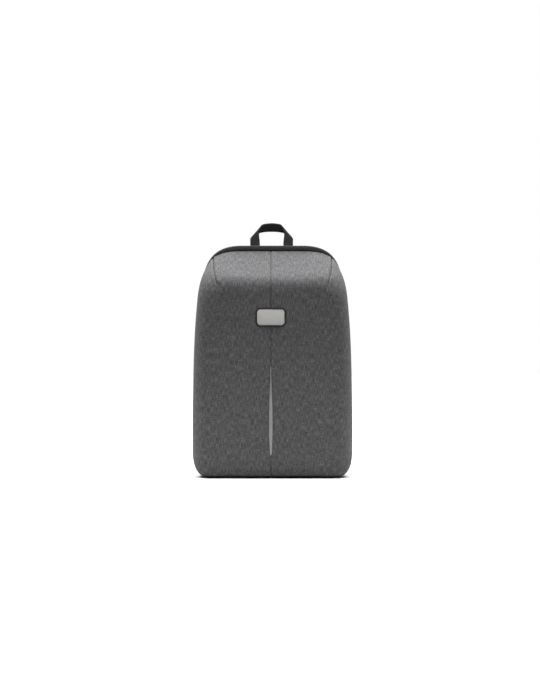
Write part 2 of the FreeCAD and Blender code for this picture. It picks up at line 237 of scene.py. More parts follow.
materials = {
    "heather": heatherCloth("heather_polyester", "424244", "5f5f60", "7e7e7f", paintSeamShade=True),
    "charcoal": heatherCloth("charcoal_polyester", "303032", "3e3e40", "4d4d4f"),
    "base": heatherCloth("coated_base_cloth", "202021", "303031", "444446", useUv=False),
    "lining": heatherCloth("grey_lining_twill", "5d5f62", "74767a", "8a8c90", useUv=False, threadMm=0.7),
    "pocketMesh": spacerMesh("pocket_net", "141415", "2b2b2d", 2.2),
    "airMesh": spacerMesh("spacer_mesh", "0f0f10", "38383b"),
    "blackWebbing": webbingCloth("black_webbing", "0b0b0c", "232324"),
    "greyWebbing": webbingCloth("charcoal_webbing", "39393a", "606062"),
    "zipTape": webbingCloth("zip_tape", "08080a", "18181a", 1.2),
    "thread": webbingCloth("bonded_thread", "2c2c2e", "4c4c4f", 0.8),
    "zipCoil": mouldedPlastic("nylon_coil", "141415", "0d0d0e", 0.35),
    "moulded": mouldedPlastic("moulded_acetal", "1a1a1b", "141415", 0.5),
    "rubber": mouldedPlastic("silicone_rubber", "1c1c1d", "161617", 0.75, 0.8, 0.25),
    "bezel": mouldedPlastic("soft_touch_bezel", "333334", "2a2a2b", 0.5),
    "slider": mouldedPlastic("black_zinc", "1b1b1d", "121213", 0.32, 1.2, 0.6),
    "plate": brushedPlate("brushed_aluminium", "e4e3e0", "c9c8c5"),
    "tape": reflectiveTape("glass_bead_tape", "c4c6c3", "9a9c99"),
}
print("materials made")


def makeMesh(name, vertices, faces, material, uv=None):
    mesh = bpy.data.meshes.new(name)
    mesh.from_pydata([tuple(v) for v in vertices], [], faces)
    if uv is not None:
        layer = mesh.uv_layers.new(name="cloth")
        loops = np.array([loop.vertex_index for loop in mesh.loops])
        layer.data.foreach_set("uv", np.asarray(uv, np.float32)[loops].ravel())
    mesh.polygons.foreach_set("use_smooth", [True] * len(mesh.polygons))
    mesh.materials.append(materials[material])
    piece = bpy.data.objects.new(name, mesh)
    scene.collection.objects.link(piece)
    return piece


def gridFaces(rows, columns, closedRows=False, closedColumns=False, flip=False):
    faces = []
    for i in range(rows if closedRows else rows - 1):
        for j in range(columns if closedColumns else columns - 1):
            a, b = i * columns + j, i * columns + (j + 1) % columns
            c, d = ((i + 1) % rows) * columns + (j + 1) % columns, ((i + 1) % rows) * columns + j
            faces.append((a, d, c, b) if flip else (a, b, c, d))
    return faces


def applyModifiers(piece):
    depsgraph = bpy.context.evaluated_depsgraph_get()
    mesh = bpy.data.meshes.new_from_object(piece.evaluated_get(depsgraph), depsgraph=depsgraph)
    old = piece.data
    piece.modifiers.clear()
    piece.data = mesh
    bpy.data.meshes.remove(old)


def softCopy(node, material, bevelMm):
    # a copy of a crisp CAD piece with its edges rounded
    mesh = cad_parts[node].data.copy()
    work = bmesh.new()
    work.from_mesh(mesh)
    bmesh.ops.remove_doubles(work, verts=work.verts, dist=1e-5)
    bmesh.ops.dissolve_limit(work, angle_limit=math.radians(4), verts=work.verts, edges=work.edges)
    bmesh.ops.recalc_face_normals(work, faces=work.faces)
    work.to_mesh(mesh)
    work.free()
    mesh.materials.clear()
    mesh.materials.append(materials[material])
    piece = bpy.data.objects.new(node + "_finished", mesh)
    scene.collection.objects.link(piece)
    bevel = piece.modifiers.new("bevel", "BEVEL")
    bevel.width = bevelMm * mm
    bevel.segments = 3
    bevel.limit_method = "ANGLE"
    bevel.angle_limit = math.radians(35)
    applyModifiers(piece)
    piece.data.polygons.foreach_set("use_smooth", [True] * len(piece.data.polygons))
    piece.data.set_sharp_from_angle(angle=math.radians(40))
    addBoxUv(piece)
    return piece


def addBoxUv(piece):
    # cloth coordinates in metres, laid flat by each face's main direction
    mesh = piece.data
    if "cloth" in mesh.uv_layers:
        return
    layer = mesh.uv_layers.new(name="cloth")
    for polygon in mesh.polygons:
        n = polygon.normal
        major = max(range(3), key=lambda k: abs(n[k]))
        for index in polygon.loop_indices:
            co = mesh.vertices[mesh.loops[index].vertex_index].co
            layer.data[index].uv = ((co.y, co.z), (co.x, co.z), (co.x, co.y))[major]


def finishPiece(piece, body, slotName, *nodes):
    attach(piece, body)
    if nodes:
        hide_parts(*nodes)


shell = {
    "frontY": -66.0, "zipY": 20.0, "midHeight": 214.0, "halfWidth": 145.0,
    "flatColumns": 44, "rings": 60, "samples": (34, 110, 84, 36, 44, 46),
    "slitTop": 219.0, "slitWide": 92.0, "slitLow": 41.5, "slitHalf": 3.4,
    "seamX": -3.2, "bendShare": 0.45, "bendPower": 2.5,
}
# control points of the outline: on the flat, at the zip, depth of rounding, squareness, belly.
# Squareness 0 is the top's own profile: a short bend, then a straight slope back to the zip
shellPoints = {
    "topMid": ((0, 338), (0, 426), 86, 0, 0),
    "top": ((52, 338), (64, 426), 86, 0, 0),
    "topPull": ((98, 344), (118, 426), 84, 0, 0),
    "shoulderPull": ((113, 345), (134, 401), 70, 1.9, 1.5),
    "shoulder": ((116, 316), (137, 340), 64, 2.2, 4.5),
    "flankPull": ((118, 270), (141.5, 285), 62, 2.2, 5.5),
    "flankLowPull": ((119, 210), (144.2, 210), 62, 2.2, 6),
    "flank": ((119, 140), (144.5, 140), 62, 2.2, 6),
    "hip": ((119, 60), (144.5, 50), 60, 2.2, 6),
    "hipPull": ((119, 38), (144.5, 24), 52, 2.2, 6),
    "footPull": ((112, 24), (141, 0), 40, 2.2, 4),
    "foot": ((96, 22), (118, 0), 26, 2.2, 0),
    "footMid": ((0, 22), (0, 0), 26, 2.2, 0),
}
gussetPoints = {
    "topMid": (0, 438), "top": (60, 438), "topPull": (121, 437.5), "shoulderPull": (134.5, 399),
    "shoulder": (136, 340), "flankPull": (140.5, 285), "flankLowPull": (143, 210),
    "flank": (143.5, 140), "hip": (143.5, 50), "hipPull": (143.5, 24), "footPull": (140, 0),
    "foot": (118, 0), "footMid": (0, 0),
}
outlineSpans = (
    ("topMid", "top"), ("top", "topPull", "shoulderPull", "shoulder"),
    ("shoulder", "flankPull", "flankLowPull", "flank"), ("flank", "hip"),
    ("hip", "hipPull", "footPull", "foot"), ("foot", "footMid"),
)


def rise(partWay, square):
    if square:
        return (1 - (1 - partWay) ** square) ** (1 / square)
    bend, order = shell["bendShare"], shell["bendPower"] + 1
    lost = bend * shell["bendPower"] / order
    run = partWay * (1 - lost)
    return bend * (order * run / bend) ** (1 / order) if run < bend / order else run + lost


def shellRing(y):
    start, end = shell["frontY"], shell["zipY"]
    ring = {}
    for name, (flat, rim, depth, square, belly) in shellPoints.items():
        partWay = min(1.0, max(0.0, (y - start) / depth))
        along = (y - start) / (end - start)
        grow = rise(partWay, square)
        ring[name] = (flat[0] + (rim[0] - flat[0]) * grow + belly * 4 * along * (1 - along),
                      flat[1] + (rim[1] - flat[1]) * grow)
    return ring


def inset(ring, wall):
    return {name: (x * (1 - wall / shell["halfWidth"]),
                   z - wall * (z - shell["midHeight"]) / shell["midHeight"])
            for name, (x, z) in ring.items()}


def bezier(points, t):
    levels = [np.outer(np.ones(len(t)), p) for p in points]
    while len(levels) > 1:
        levels = [a * (1 - t)[:, None] + b * t[:, None] for a, b in zip(levels, levels[1:])]
    return levels[0]


def halfOutline(ring, samples):
    # right half of the outline from the top's middle down to the base's middle, (x, z) in mm
    parts = []
    for names, count in zip(outlineSpans, samples):
        t = np.linspace(0, 1, count, endpoint=False)
        parts.append(bezier([np.array(ring[n], float) for n in names], t))
    parts.append(np.array([ring["footMid"]], float))
    return np.concatenate(parts)


def slitWidth(z):
    top, wide, low, half = (shell[k] for k in ("slitTop", "slitWide", "slitLow", "slitHalf"))
    z = np.asarray(z, float)
    up = np.clip((top - z) / (top - wide), 0, 1)
    down = np.clip((z - low) / (wide - low), 0, 1)
    return half * np.where(z > wide, np.sin(up * math.pi / 2) ** 1.1, np.sin(down * math.pi / 2) ** 0.8)


def shellHalf(side):
    samples = shell["samples"]
    rings = shell["rings"]
    columns = shell["flatColumns"]
    seamX = shell["seamX"] * side
    rows = []
    for j in range(rings + 1):
        y = shell["frontY"] + (shell["zipY"] - shell["frontY"]) * (j / rings) ** 1.9
        ring = shellRing(y)
        for middle in ("topMid", "footMid"):
            ring[middle] = (seamX, ring[middle][1])
        outline = halfOutline(ring, samples)
        rows.append(np.column_stack([outline[:, 0], np.full(len(outline), y), outline[:, 1]]))
    edge = rows[0]
    count = len(edge)
    # the flat: straight lines from its edge to the seam or to the slit's lip
    steps = np.linalg.norm(np.diff(edge, axis=0), axis=1)
    share = np.concatenate([[0], np.cumsum(steps)]) / steps.sum()
    seamZ = edge[0, 2] + (edge[-1, 2] - edge[0, 2]) * share
    seam = np.column_stack([seamX + slitWidth(seamZ), np.full(count, shell["frontY"]), seamZ])
    flat = []
    for i in range(columns):
        w = (i / columns) ** 1.7
        flat.append(seam * (1 - w) + edge * w)
    grid = np.array(flat + rows)
    # cloth coordinates follow the surface outwards from the flat's edge
    outward = rows[-1][:, [0, 2]] - edge[:, [0, 2]]
    outward /= np.linalg.norm(outward, axis=1)[:, None] + 1e-9
    travel = np.zeros(count)
    uv = [g[:, [0, 2]] for g in flat]
    previous = rows[0]
    for row in rows:
        travel = travel + np.linalg.norm(row - previous, axis=1)
        uv.append(edge[:, [0, 2]] + outward * travel[:, None])
        previous = row
    uv = np.array(uv)
    shade = shapeSeams(grid, seamX)
    points = grid.reshape(-1, 3)
    points[:, 0] *= side
    uv = uv.reshape(-1, 2)
    uv[:, 0] *= side
    uv[:, 0] += 3.7 * side
    return points, uv, shade.ravel(), len(grid), count


darts = {"rim": (115, 416), "tip": (103.5, 362), "depth": 1.5, "width": 1.5, "swell": 0.7, "pucker": 1.3}
# shade and shadeWidth set the strength and width of the painted shade along the seam
seams = {"depth": 1.1, "width": 1.2, "lipDepth": 1.7, "lipWidth": 2.2, "shade": 0.5, "shadeWidth": 0.9,
         "softness": 1.1}


def nearestOnGrid(grid, target):
    gap = np.hypot(grid[:, :, 0] - target[0], grid[:, :, 2] - target[1])
    return np.unravel_index(np.argmin(gap), gap.shape)


def shapeSeams(grid, seamX):
    x, y, z = grid[:, :, 0], grid[:, :, 1], grid[:, :, 2]
    normals = np.cross(np.gradient(grid, axis=0), np.gradient(grid, axis=1))
    length = np.linalg.norm(normals, axis=2)[:, :, None]
    normals = normals / np.maximum(length, 1e-9)
    centre = np.array([0, 20, 200.0])
    inward = np.sum(normals * (grid - centre), axis=2) < 0
    normals[inward] *= -1
    normals[:, 0] = normals[:, 1]
    normals[:, -1] = normals[:, -2]
    # centre seam: both edges turn in where they are sewn
    seamGap = np.abs(x - seamX) - slitWidth(z) * (y < shell["frontY"] + 0.5)
    push = -seams["depth"] * np.exp(-(seamGap / seams["width"]) ** 2)
    # slit lips turn in further
    slitOpen = (slitWidth(z) > 0.4) & (y < shell["frontY"] + 0.5)
    push = np.where(slitOpen, -seams["lipDepth"] * np.exp(-(seamGap / seams["lipWidth"]) ** 2), push)
    # dart: a sewn tuck that runs from the zip down to a point, with a pucker at its end
    rim = nearestOnGrid(grid, darts["rim"])
    tip = nearestOnGrid(grid, darts["tip"])
    line = []
    for k in np.linspace(0, 1, 120):
        i = rim[0] + (tip[0] - rim[0]) * k
        j = rim[1] + (tip[1] - rim[1]) * k
        i0, j0 = int(i), int(j)
        line.append(grid[i0, j0] * (1 - (j - j0)) + grid[i0, min(j0 + 1, grid.shape[1] - 1)] * (j - j0))
    line = np.array(line)
    near = (x > 70) & (z > 320)
    index = np.argwhere(near)
    local = grid[near]
    gap = np.sqrt(((local[:, None, :] - line[None, :, :]) ** 2).sum(-1))
    closest = gap.argmin(1)
    gap = gap.min(1)
    fade = 1 - 0.35 * closest / len(line)
    groove = -darts["depth"] * fade * np.exp(-(gap / darts["width"]) ** 2)
    swell = darts["swell"] * np.exp(-((gap - 4.5) / 3) ** 2)
    tipGap = np.linalg.norm(local - line[-1] - np.array([0.5, 0, -5]), axis=1)
    pucker = -darts["pucker"] * np.exp(-(tipGap / 6) ** 2)
    for (i, j), value in zip(index, groove + swell + pucker):
        push[i, j] += value
    # the cloth's own softness, lowest where it is sewn
    soft = np.zeros_like(x)
    for i in range(grid.shape[0]):
        for j in range(grid.shape[1]):
            p = Vector((x[i, j] * 0.011, y[i, j] * 0.011, z[i, j] * 0.008))
            soft[i, j] = noise.noise(p + Vector((3.1, 0.4, 7.7)))
    settle = np.clip((shell["zipY"] - y) / 12, 0, 1)
    push = push + soft * seams["softness"] * settle
    grid += normals * push[:, :, None]
    np.clip(grid[:, :, 2], 0.15, None, out=grid[:, :, 2])
    # painted shade for the cloth's colour: darker along the centre seam and slit lips, and more strongly
    # along the dart line
    shade = seams["shade"] * np.exp(-(seamGap / seams["shadeWidth"]) ** 2)
    for (i, j), value in zip(index, 0.9 * np.exp(-(gap / 0.8) ** 2)):
        shade[i, j] = max(shade[i, j], value)
    return shade


def buildShell():
    soles = []
    for side, hand in ((1, "right"), (-1, "left")):
        points, uv, shade, rows, count = shellHalf(side)
        # the cloth turns in over the zip's edge to meet the lining
        rim = points.reshape(rows, count, 3)[-1]
        folds = []
        for back, down in ((0.7, 0.25), (0.9, 1.2), (0.6, 4.6)):
            ring = rim.copy()
            ring[:, 0] *= 1 - down / shell["halfWidth"]
            ring[:, 2] -= down * (ring[:, 2] - shell["midHeight"]) / shell["midHeight"]
            ring[:, 1] += back
            folds.append(ring)
        points = np.concatenate([points] + folds)
        uv = np.concatenate([uv] + [uv.reshape(rows, count, 2)[-1]] * len(folds))
        faces = gridFaces(rows + len(folds), count, flip=side < 0)
        piece = makeMesh(f"shell_cloth_{hand}", points * mm, faces, "heather", uv * mm)
        # painted shade along the seams and darts, stored in the seam attribute for the cloth's colour
        shade = np.concatenate([shade, np.zeros(len(points) - len(shade))])
        seam = piece.data.attributes.new("seam", "FLOAT", "POINT")
        seam.data.foreach_set("value", shade.astype(np.float32))
        sole = piece.copy()
        sole.data = piece.data.copy()
        scene.collection.objects.link(sole)
        soles.append(sole)
        work = bmesh.new()
        work.from_mesh(piece.data)
        cutAtBase(work, keepAbove=True)
        work.to_mesh(piece.data)
        work.free()
        finishPiece(piece, "front_shell", "heather_cloth", f"front_panel_{hand}")
    buildBase(soles)
    print("front shell made")


base = {"height": 4.6, "thick": 1.2, "proud": 0.35}


def cutAtBase(work, keepAbove):
    geometry = work.verts[:] + work.edges[:] + work.faces[:]
    bmesh.ops.bisect_plane(work, geom=geometry, plane_co=(0, 0, base["height"] * mm), plane_no=(0, 0, 1),
                           clear_inner=keepAbove, clear_outer=not keepAbove)


def buildBase(soles):
    # the coated base turns up a few millimetres all round and is a little proud of the cloth
    work = bmesh.new()
    for sole in soles:
        work.from_mesh(sole.data)
    cutAtBase(work, keepAbove=False)
    bmesh.ops.remove_doubles(work, verts=work.verts, dist=3e-4)
    for vertex in work.verts:
        side = Vector((vertex.co.x, vertex.co.y - 0.02, 0)).normalized()
        vertex.co += side * base["proud"] * mm
    piece = soles[0]
    piece.name = "base_cloth"
    work.to_mesh(piece.data)
    work.free()
    bpy.data.objects.remove(soles[1])
    piece.data.materials.clear()
    piece.data.materials.append(materials["base"])
    solidify = piece.modifiers.new("thickness", "SOLIDIFY")
    solidify.thickness = base["thick"] * mm
    solidify.offset = -1
    applyModifiers(piece)
    finishPiece(piece, "front_shell", "coated_base", "base_panel")


buildShell()

badge = {"z": 299.0, "x": 51.0, "y": 29.5, "radius": 6.5, "bezel": 2.9, "bezelProud": 1.4, "plateProud": 0.9}


def roundedLoop(halfX, halfZ, radius, steps=8):
    points = []
    for cx, cz, start in ((1, 1, 0), (-1, 1, 90), (-1, -1, 180), (1, -1, 270)):
        for k in range(steps + 1):
            a = math.radians(start + 90 * k / steps)
            points.append((cx * (halfX - radius) + radius * math.cos(a),
                           cz * (halfZ - radius) + radius * math.sin(a)))
    return points


def ringOfLoops(name, loops, material, cap):
    # loops: (halfX, halfZ, radius, y), from the outside in; cap closes the last loop
    vertices = []
    for halfX, halfZ, radius, y in loops:
        vertices += [(x + shell["seamX"], y, z + badge["z"]) for x, z in roundedLoop(halfX, halfZ, radius)]
    count = len(vertices) // len(loops)
    faces = gridFaces(len(loops), count, closedColumns=True)
    if cap:
        faces.append(tuple(range((len(loops) - 1) * count, len(loops) * count)))
    piece = makeMesh(name, np.array(vertices) * mm, faces, material)
    addBoxUv(piece)
    return piece


def buildBadge():
    face = shell["frontY"]
    hx, hz, r = badge["x"] / 2, badge["y"] / 2, badge["radius"]
    b, proud, plate = badge["bezel"], badge["bezelProud"], badge["plateProud"]
    loops = [(hx + b, hz + b, r + b, face + 0.8), (hx + b, hz + b, r + b, face - proud + 0.6),
             (hx + b - 0.2, hz + b - 0.2, r + b - 0.2, face - proud + 0.2),
             (hx + b - 0.6, hz + b - 0.6, r + b - 0.6, face - proud),
             (hx + 0.5, hz + 0.5, r + 0.5, face - proud), (hx + 0.1, hz + 0.1, r + 0.1, face - proud + 0.25),
             (hx, hz, r, face - proud + 0.7), (hx, hz, r, face - plate + 0.6)]
    bezel = ringOfLoops("badge_surround", loops, "bezel", False)
    finishPiece(bezel, "front_shell", "dark_bezel", "badge_bezel")
    loops = [(hx - 0.05, hz - 0.05, r, face + 0.2), (hx - 0.05, hz - 0.05, r, face - plate + 0.3),
             (hx - 0.2, hz - 0.2, r - 0.1, face - plate + 0.08), (hx - 0.5, hz - 0.5, r - 0.4, face - plate)]
    piece = ringOfLoops("badge_face", loops, "plate", True)
    finishPiece(piece, "front_shell", "brushed_plate", "badge_plate")


def buildSlit():
    heights = np.linspace(shell["slitLow"] - 3, shell["slitTop"] + 4, 90)
    vertices = []
    uv = []
    for z in heights:
        half = float(slitWidth(z)) + 2.2
        for k in np.linspace(-1, 1, 9):
            bow = 0.5 * (1 - k * k)
            vertices.append((k * half + shell["seamX"], shell["frontY"] + 2.1 - bow, z))
            uv.append((k * half, z))
    piece = makeMesh("reflective_inlay", np.array(vertices) * mm, gridFaces(90, 9), "tape", np.array(uv) * mm)
    finishPiece(piece, "front_shell", "reflective_tape", "reflective_strip")


buildBadge()
buildSlit()
print("badge and slit made")


gusset = {"front": 24.1, "back": 58.1, "samples": (30, 60, 60, 24, 34, 40)}


def fullOutline(points, wall, samples):
    half = halfOutline(inset(points, wall), samples)
    left = half[1:-1][::-1] * np.array([-1, 1])
    return np.concatenate([half, left])


def sweptRing(name, profile, material, samples, towardsShell=None):
    # profile: (depth y, inset) pairs in mm, swept round the bag's outline. towardsShell says which
    # of them follow the front shell's smaller rim
    rings = []
    uv = []
    travel = 0.0
    last = None
    rim = shellRing(shell["zipY"])
    outermost = fullOutline(gussetPoints, 0, samples)
    around = np.concatenate([[0], np.cumsum(np.linalg.norm(np.diff(outermost, axis=0), axis=1))])
    for k, (y, wall) in enumerate(profile):
        onShell = towardsShell is not None and towardsShell[k]
        ring = fullOutline(rim if onShell else gussetPoints, wall, samples)
        if last is not None:
            travel += math.hypot(y - last[0], wall - last[1])
        last = (y, wall)
        rings.append(np.column_stack([ring[:, 0], np.full(len(ring), y), ring[:, 1]]))
        uv.append(np.column_stack([around, np.full(len(ring), travel)]))
    count = len(rings[0])
    points = np.concatenate(rings)
    points[:, 2] = np.maximum(points[:, 2], 0.0)
    faces = gridFaces(len(rings), count, closedRows=True, closedColumns=True)
    piece = makeMesh(name, points * mm, faces, material, np.concatenate(uv) * mm)
    # the last faces close the loop, so their far side counts on instead of starting again
    whole = (around[-1] + np.linalg.norm(outermost[-1] - outermost[0])) * mm
    layer = piece.data.uv_layers["cloth"].data
    for polygon in piece.data.polygons:
        columns = [v % count for v in polygon.vertices]
        if 0 in columns and count - 1 in columns:
            for index, column in zip(polygon.loop_indices, columns):
                if column == 0:
                    layer[index].uv = (whole, layer[index].uv[1])
    return piece


def buildGusset():
    front, back = gusset["front"], gusset["back"]
    outer = [(front + 0.2, 5.6), (front, 5.0), (front + 0.3, 4.4), (front + 1.2, 3.2), (front + 3, 1.9),
             (front + 6, 0.8), (front + 10, 0.2), (front + 15, 0.0), (back - 10, 0.0), (back - 5, 0.3),
             (back - 2.6, 0.9), (back - 1.0, 1.8)]
    inner = [(back - 4.2, 3.0), (back - 6, 4.2), (front + 12, 4.4), (front + 3, 6.0)]
    piece = sweptRing("gusset_cloth", outer + inner, "charcoal", gusset["samples"])
    finishPiece(piece, "rear_shell", "charcoal_cloth", "back_gusset")
    # piping bead where gusset and back panel are sewn
    bead = [(back - 1.3 + 1.5 * math.cos(a), 1.9 + 1.5 * math.sin(a))
            for a in np.linspace(0, 2 * math.pi, 10, endpoint=False)]
    piping = sweptRing("back_piping", bead, "blackWebbing", gusset["samples"])
    finishPiece(piping, "rear_shell", "black_webbing")


def buildBackPanel():
    outline = fullOutline(gussetPoints, 2.6, (24, 40, 40, 18, 24, 30))
    centre = np.array([0, 214.0])
    rings = []
    for share in np.linspace(1, 0.02, 34):
        ring = centre + (outline - centre) * share
        crown = 1.2 * (1 - share ** 6)
        rings.append(np.column_stack([ring[:, 0], np.full(len(ring), 56.6 + crown), ring[:, 1]]))
    count = len(outline)
    points = np.concatenate(rings)
    faces = gridFaces(len(rings), count, closedColumns=True)
    last = (len(rings) - 1) * count
    faces.append(tuple(range(last, last + count)))
    piece = makeMesh("back_panel_cloth", points * mm, faces, "charcoal", points[:, [0, 2]] * mm)
    finishPiece(piece, "rear_shell", "charcoal_cloth", "back_panel")


buildGusset()
buildBackPanel()

zipCoil = {"pitchMm": 1.45, "toothMm": (0.85, 0.62, 3.4), "endHeight": 34.0}


def coilPath(name, y, wall):
    # the open line that the coil follows: up one side, over the top and down the other
    half = halfOutline(inset(gussetPoints, wall), gusset["samples"])
    half = half[half[:, 1] > zipCoil["endHeight"]]
    line = np.concatenate([half[1:][::-1] * np.array([-1, 1]), half])
    mesh = bpy.data.meshes.new(name)
    edges = [(i, i + 1) for i in range(len(line) - 1)]
    mesh.from_pydata([(x * mm, y * mm, z * mm) for x, z in line], edges, [])
    piece = bpy.data.objects.new(name, mesh)
    scene.collection.objects.link(piece)
    return piece


def beadTree(name, kind, shape, turn):
    # beads set along lines at a pitch, each turned to lie with its line
    tree = bpy.data.node_groups.new(name, "GeometryNodeTree")
    tree.interface.new_socket("Lines", in_out="INPUT", socket_type="NodeSocketGeometry")
    sockets = {}
    for label, socket in (("Pitch", "NodeSocketFloat"), ("Bead Size", "NodeSocketVector"),
                          ("Finish", "NodeSocketMaterial")):
        sockets[label] = tree.interface.new_socket(label, in_out="INPUT", socket_type=socket).identifier
    tree.interface.new_socket("Beads", in_out="OUTPUT", socket_type="NodeSocketGeometry")
    given = addNode(tree, "NodeGroupInput")
    curve = addNode(tree, "GeometryNodeMeshToCurve", links={"Mesh": given.outputs["Lines"]})
    points = addNode(tree, "GeometryNodeCurveToPoints", {"mode": "LENGTH"},
                     {"Curve": curve.outputs[0], "Length": given.outputs["Pitch"]})
    bead = addNode(tree, kind, shape)
    turned = addNode(tree, "FunctionNodeAlignRotationToVector", turn,
                     {"Vector": points.outputs["Tangent"]})
    placed = addNode(tree, "GeometryNodeInstanceOnPoints", links={
        "Points": points.outputs["Points"], "Instance": bead.outputs["Mesh"],
        "Rotation": turned.outputs["Rotation"], "Scale": given.outputs["Bead Size"]})
    real = addNode(tree, "GeometryNodeRealizeInstances", links={"Geometry": placed.outputs[0]})
    painted = addNode(tree, "GeometryNodeSetMaterial", links={
        "Geometry": real.outputs[0], "Material": given.outputs["Finish"]})
    addNode(tree, "NodeGroupOutput", links={"Beads": painted.outputs[0]})
    return tree, sockets


def setBeads(piece, beads, pitchMm, sizeMm, material):
    tree, sockets = beads
    modifier = piece.modifiers.new("beads", "NODES")
    modifier.node_group = tree
    modifier[sockets["Pitch"]] = pitchMm * mm
    modifier[sockets["Bead Size"]] = [size * mm for size in sizeMm]
    modifier[sockets["Finish"]] = materials[material]
    applyModifiers(piece)
    addBoxUv(piece)


def buildZip():
    teeth = beadTree("zip_teeth", "GeometryNodeMeshCube",
                     {"in:Vertices X": 2, "in:Vertices Y": 3, "in:Vertices Z": 2},
                     {"axis": "X", "pivot_axis": "Y"})
    rows = (("front_coil_row", 21.7, "front_shell", "front_zip_coil"),
            ("rear_coil_row", 22.4, "rear_shell", "rear_zip_coil"))
    for name, y, body, node in rows:
        line = coilPath(name, y, 4.4)
        setBeads(line, teeth, zipCoil["pitchMm"], zipCoil["toothMm"], "zipCoil")
        finishPiece(line, body, "zip_coil", node)
        print(name, len(line.data.polygons), "faces")
    # behind the coil each tape has a lip, and the lips overlap so that no light shows between them
    frontTape = [(20.3, 2.0), (21.4, 2.0), (21.4, 6.6), (22.35, 6.6), (22.35, 7.2), (21.4, 7.2),
                 (21.4, 8.5), (20.3, 8.5)]
    rearTape = [(22.8, 2.0), (24.0, 2.0), (24.0, 8.6), (21.9, 8.6), (21.9, 7.8), (22.8, 7.8)]
    piece = sweptRing("front_tape_cloth", frontTape, "zipTape", gusset["samples"], [False] * 6 + [True] * 2)
    finishPiece(piece, "front_shell", "zip_tape", "front_zip_tape")
    piece = sweptRing("rear_tape_cloth", rearTape, "zipTape", gusset["samples"])
    finishPiece(piece, "rear_shell", "zip_tape", "rear_zip_tape")


buildZip()
print("gusset, panel and zip made")


# strips of webbing and cloth

def smoothPath(points, spacing=3.0):
    # a curve through the points, sampled evenly along its length
    known = np.array(points, float)
    known = np.vstack([2 * known[0] - known[1], known, 2 * known[-1] - known[-2]])
    dense = []
    for a, b, c, d in zip(known, known[1:], known[2:], known[3:]):
        for t in np.linspace(0, 1, 20, endpoint=False):
            dense.append(0.5 * (2 * b + (c - a) * t + (2 * a - 5 * b + 4 * c - d) * t * t
                                + (3 * b - a - 3 * c + d) * t ** 3))
    dense = np.array(dense + [known[-2]])
    along = np.concatenate([[0], np.cumsum(np.linalg.norm(np.diff(dense, axis=0), axis=1))])
    even = np.linspace(0, along[-1], max(3, round(along[-1] / spacing) + 1))
    return np.column_stack([np.interp(even, along, dense[:, k]) for k in range(dense.shape[1])])


def sweptStrip(name, path, across, halfWide, halfThick, material, facing=None, closed=False, squareness=8):
    # a flat strip with rounded edges; across is the way its width lies, facing fixes its broad side
    path = np.asarray(path, float)
    count = len(path)
    across = np.array(np.broadcast_to(np.asarray(across, float), (count, 3)))
    wide = np.broadcast_to(np.asarray(halfWide, float), count)
    thick = np.broadcast_to(np.asarray(halfThick, float), count)
    if closed:
        tangent = np.roll(path, -1, axis=0) - np.roll(path, 1, axis=0)
    else:
        tangent = np.gradient(path, axis=0)
    tangent /= np.linalg.norm(tangent, axis=1)[:, None]
    if facing is None:
        across -= tangent * np.sum(across * tangent, axis=1)[:, None]
    across /= np.linalg.norm(across, axis=1)[:, None]
    normal = np.cross(tangent, across)
    if facing is not None:
        normal = np.sign(normal @ np.array(facing, float))[:, None] * np.array(facing, float)
    normal /= np.linalg.norm(normal, axis=1)[:, None]
    u = -np.cos(np.linspace(0, math.pi, 11))
    lift = (1 - np.abs(u) ** squareness) ** 0.5
    section = list(zip(u, lift)) + list(zip(u[-2:0:-1], -lift[-2:0:-1]))
    around = len(section)
    rings = [path + across * (wide * a)[:, None] + normal * (thick * b)[:, None] for a, b in section]
    points = np.stack(rings, axis=1).reshape(-1, 3)
    steps = np.linalg.norm(np.diff(path, axis=0), axis=1)
    along = np.concatenate([[0], np.cumsum(steps)])
    uv = np.stack([np.column_stack([wide * a, along]) for a, _ in section], axis=1).reshape(-1, 2)
    faces = gridFaces(count, around, closedRows=closed, closedColumns=True, flip=True)
    if not closed:
        faces.append(tuple(range(around)))
        faces.append(tuple(range(count * around - 1, (count - 1) * around - 1, -1)))
    return makeMesh(name, points * mm, faces, material, uv * mm)


stitch = {"pitchMm": 3.4, "sizeMm": (2.6, 0.75, 0.75)}
stitchBeads = beadTree("sewn_stitches", "GeometryNodeMeshUVSphere",
                       {"in:Segments": 6, "in:Rings": 4, "in:Radius": 0.5}, {"axis": "X"})


def sewLines(name, lines, body, slotName, cloth=()):
    # lines: lists of points in mm that lie near the cloth. Each is laid on the nearest of its pieces
    surfaces = [BVHTree.FromPolygons([v.co for v in piece.data.vertices],
                                     [tuple(f.vertices) for f in piece.data.polygons]) for piece in cloth]
    vertices = []
    edges = []
    for line in lines:
        start = len(vertices)
        if surfaces:
            ends = np.array(line)
            line = [near + (far - near) * t for near, far in zip(ends, ends[1:])
                    for t in np.linspace(0, 1, 8, endpoint=False)] + [ends[-1]]
        for p in line:
            spot = Vector(p) * mm
            hits = [surface.find_nearest(spot) for surface in surfaces]
            if hits:
                spot = min(hits, key=lambda hit: hit[3])[0]
            vertices.append(tuple(spot))
        edges += [(start + k, start + k + 1) for k in range(len(line) - 1)]
    mesh = bpy.data.meshes.new(name)
    mesh.from_pydata(vertices, edges, [])
    piece = bpy.data.objects.new(name, mesh)
    scene.collection.objects.link(piece)
    setBeads(piece, stitchBeads, stitch["pitchMm"], stitch["sizeMm"], "thread")
    piece.data.polygons.foreach_set("use_smooth", [True] * len(piece.data.polygons))
    finishPiece(piece, body, slotName)


def crossedBox(x0, x1, z0, z1, y):
    # the sewn box with a cross that fastens webbing
    corners = [(x0, y, z0), (x1, y, z0), (x1, y, z1), (x0, y, z1)]
    return [corners + corners[:1], [corners[0], corners[2]], [corners[1], corners[3]]]


